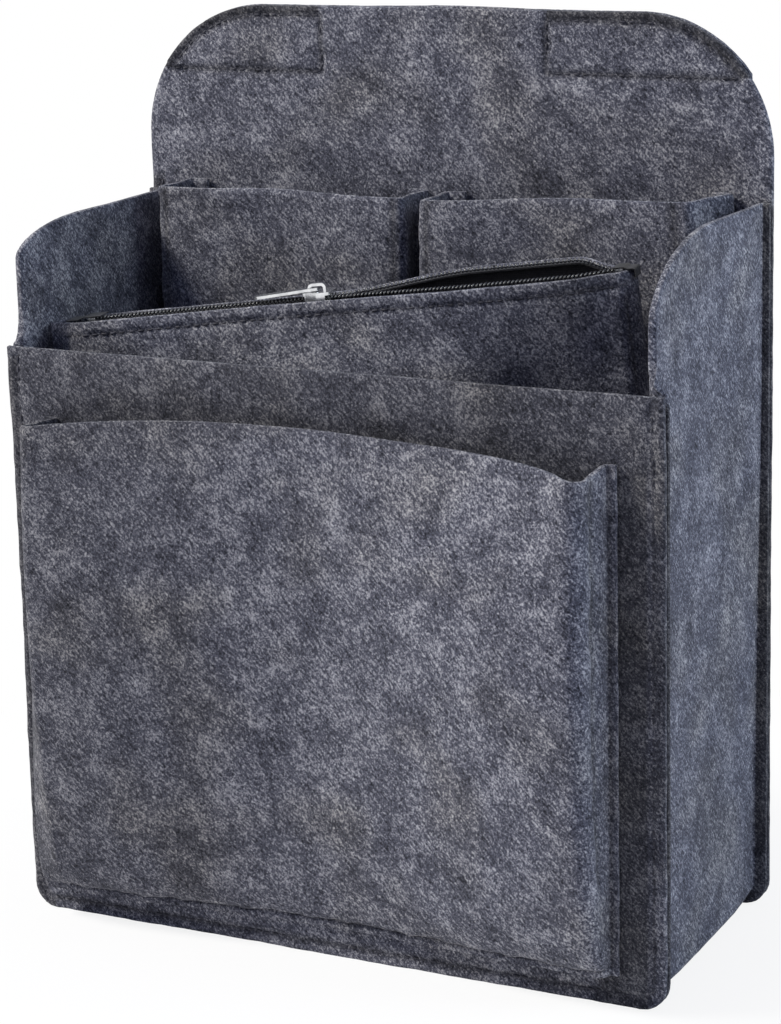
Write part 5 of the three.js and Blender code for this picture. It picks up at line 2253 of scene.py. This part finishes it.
@dataclass
class Studio:
    """White floor and backdrop, soft lamps and the camera."""

    target: Triple = (0.0, 0.00535, 0.18)
    azimuth: float = 27.306
    elevation: float = 13.348
    distance: float = 1.22423
    roll: float = -1.295
    lens: float = 108.29
    sensor: float = 36.0
    clip: float = 0.05
    shift: Pair = (-0.0034, -0.0324)
    ambient: float = 0.34
    ambient_colour: Colour = (0.57, 0.64, 1.0)
    white: Colour = (1.0, 1.0, 1.0)
    floor_colour: Colour = (0.86, 0.86, 0.87)
    floor_rough: float = 0.9
    floor_size: float = 3000.0
    shadow_reach: Pair = (0.08, 0.34)
    shadow_glow: float = 0.84
    lamps: tuple[Lamp, ...] = (
        Lamp("key_lamp", (-1.905, -1.1, 2.38), 118.0, 0.75, (1.0, 0.968, 0.89)),
        Lamp("fill_lamp", (1.4, 0.3, 0.95), 13.5, 0.8, (0.77, 0.89, 1.0)),
    )

    def camera(self) -> None:
        """Sets the camera to the photograph's view."""
        azimuth, elevation, roll = (math.radians(a) for a in (self.azimuth, self.elevation, self.roll))
        level = math.cos(elevation)
        back = Vector((math.sin(azimuth) * level, -math.cos(azimuth) * level, math.sin(elevation)))
        right = (-back).cross(Vector((0.0, 0.0, 1.0))).normalized()
        up = right.cross(-back)
        turned_right = right * math.cos(roll) + up * math.sin(roll)
        turned_up = up * math.cos(roll) - right * math.sin(roll)
        data = bpy.data.cameras.new("photo_camera")
        data.lens = self.lens
        data.sensor_width = self.sensor
        data.shift_x, data.shift_y = self.shift
        data.clip_start = self.clip
        camera = bpy.data.objects.new("photo_camera", data)
        turn = Matrix((turned_right, turned_up, back)).transposed().to_4x4()
        camera.matrix_world = Matrix.Translation(Vector(self.target) + back * self.distance) @ turn
        bpy.context.scene.collection.objects.link(camera)
        bpy.context.scene.camera = camera

    def light(self) -> None:
        """Hangs the lamps and lights the room."""
        for lamp in self.lamps:
            data = bpy.data.lights.new(lamp.name, "AREA")
            data.energy = lamp.power
            data.size = lamp.size
            data.color = lamp.colour
            piece = bpy.data.objects.new(lamp.name, data)
            place = Vector(lamp.place)
            turn = (Vector(self.target) - place).to_track_quat("-Z", "Y").to_matrix().to_4x4()
            piece.matrix_world = Matrix.Translation(place) @ turn
            bpy.context.scene.collection.objects.link(piece)
        world = bpy.data.worlds.new("white_room")
        world.use_nodes = True
        tree = world.node_tree
        light = tree.nodes["Background"]
        light.inputs["Color"].default_value = (*self.ambient_colour, 1.0)
        light.inputs["Strength"].default_value = self.ambient
        white = tree.nodes.new("ShaderNodeBackground")
        white.inputs["Color"].default_value = (*self.white, 1.0)
        white.inputs["Strength"].default_value = 1.0
        self.blend(tree, self.seen(tree), light, white)
        bpy.context.scene.world = world

    @staticmethod
    def blend(
        tree: bpy.types.NodeTree, share: Socket, first: bpy.types.Node, second: bpy.types.Node,
    ) -> None:
        """Shows a share of the second shader and the rest of the first one.

        Args:
            tree: Node tree of a material or of the world.
            share: Share of the second shader.
            first: The first shader.
            second: The second shader.
        """
        mixed = tree.nodes.new("ShaderNodeMixShader")
        for socket, value in zip(mixed.inputs, (share, first.outputs[0], second.outputs[0])):
            tree.links.new(value, socket)
        output = next(n for n in tree.nodes if n.type in ("OUTPUT_MATERIAL", "OUTPUT_WORLD"))
        tree.links.new(mixed.outputs[0], output.inputs["Surface"])

    @staticmethod
    def seen(tree: bpy.types.NodeTree) -> Socket:
        """Tells rays that show the background from rays that light the part.

        Args:
            tree: Node tree of a material or of the world.

        Returns:
            Socket that is 1 for a direct view, in gloss or through glass.
        """
        path = tree.nodes.new("ShaderNodeLightPath")
        total = path.outputs["Is Camera Ray"]
        for ray in ("Is Glossy Ray", "Is Transmission Ray"):
            add = tree.nodes.new("ShaderNodeMath")
            add.operation = "MAXIMUM"
            tree.links.new(total, add.inputs[0])
            tree.links.new(path.outputs[ray], add.inputs[1])
            total = add.outputs[0]
        return total

    def floor(self) -> None:
        """Lays the white floor, which keeps the shadow close to the part."""
        around = np.array([(-1.0, -1.0, 0.0), (1.0, -1.0, 0.0), (1.0, 1.0, 0.0), (-1.0, 1.0, 0.0)])
        floor = mesh_object("white_floor", self.floor_size * around, [(0, 1, 2, 3)])
        material = bpy.data.materials.new("white_floor")
        material.use_nodes = True
        tree = material.node_tree
        shader = next(n for n in tree.nodes if n.type == "BSDF_PRINCIPLED")
        shader.inputs["Base Color"].default_value = (*self.floor_colour, 1.0)
        shader.inputs["Roughness"].default_value = self.floor_rough
        glow = tree.nodes.new("ShaderNodeEmission")
        glow.inputs["Color"].default_value = (*self.white, 1.0)
        glow.inputs["Strength"].default_value = 1.0
        place = tree.nodes.new("ShaderNodeTexCoord")
        reach = tree.nodes.new("ShaderNodeVectorMath")
        reach.operation = "LENGTH"
        tree.links.new(place.outputs["Object"], reach.inputs[0])
        fade = tree.nodes.new("ShaderNodeMapRange")
        fade.interpolation_type = "SMOOTHSTEP"
        start, end = self.shadow_reach
        spans = (("From Min", start), ("From Max", end), ("To Min", self.shadow_glow), ("To Max", 1.0))
        for key, value in spans:
            fade.inputs[key].default_value = value
        tree.links.new(reach.outputs["Value"], fade.inputs["Value"])
        shown = tree.nodes.new("ShaderNodeMath")
        shown.operation = "MULTIPLY"
        tree.links.new(fade.outputs["Result"], shown.inputs[0])
        tree.links.new(self.seen(tree), shown.inputs[1])
        self.blend(tree, shown.outputs[0], shader, glow)
        floor.data.materials.append(material)

    def build(self) -> None:
        """Sets up the whole studio."""
        self.camera()
        self.light()
        self.floor()
        bpy.context.scene.view_settings.view_transform = "Standard"
        LOG.info("studio: %d lamps", len(self.lamps))


def main() -> None:
    """Builds the part's looks piece by piece."""
    logging.basicConfig(level=logging.INFO, format="%(name)s: %(message)s")
    Studio().build()
    finishes = Finishes()
    OpenBox().build(finishes)
    ZipPouch().build(finishes)
    ZipMetal().build(finishes)


if __name__ == "__main__":
    main()
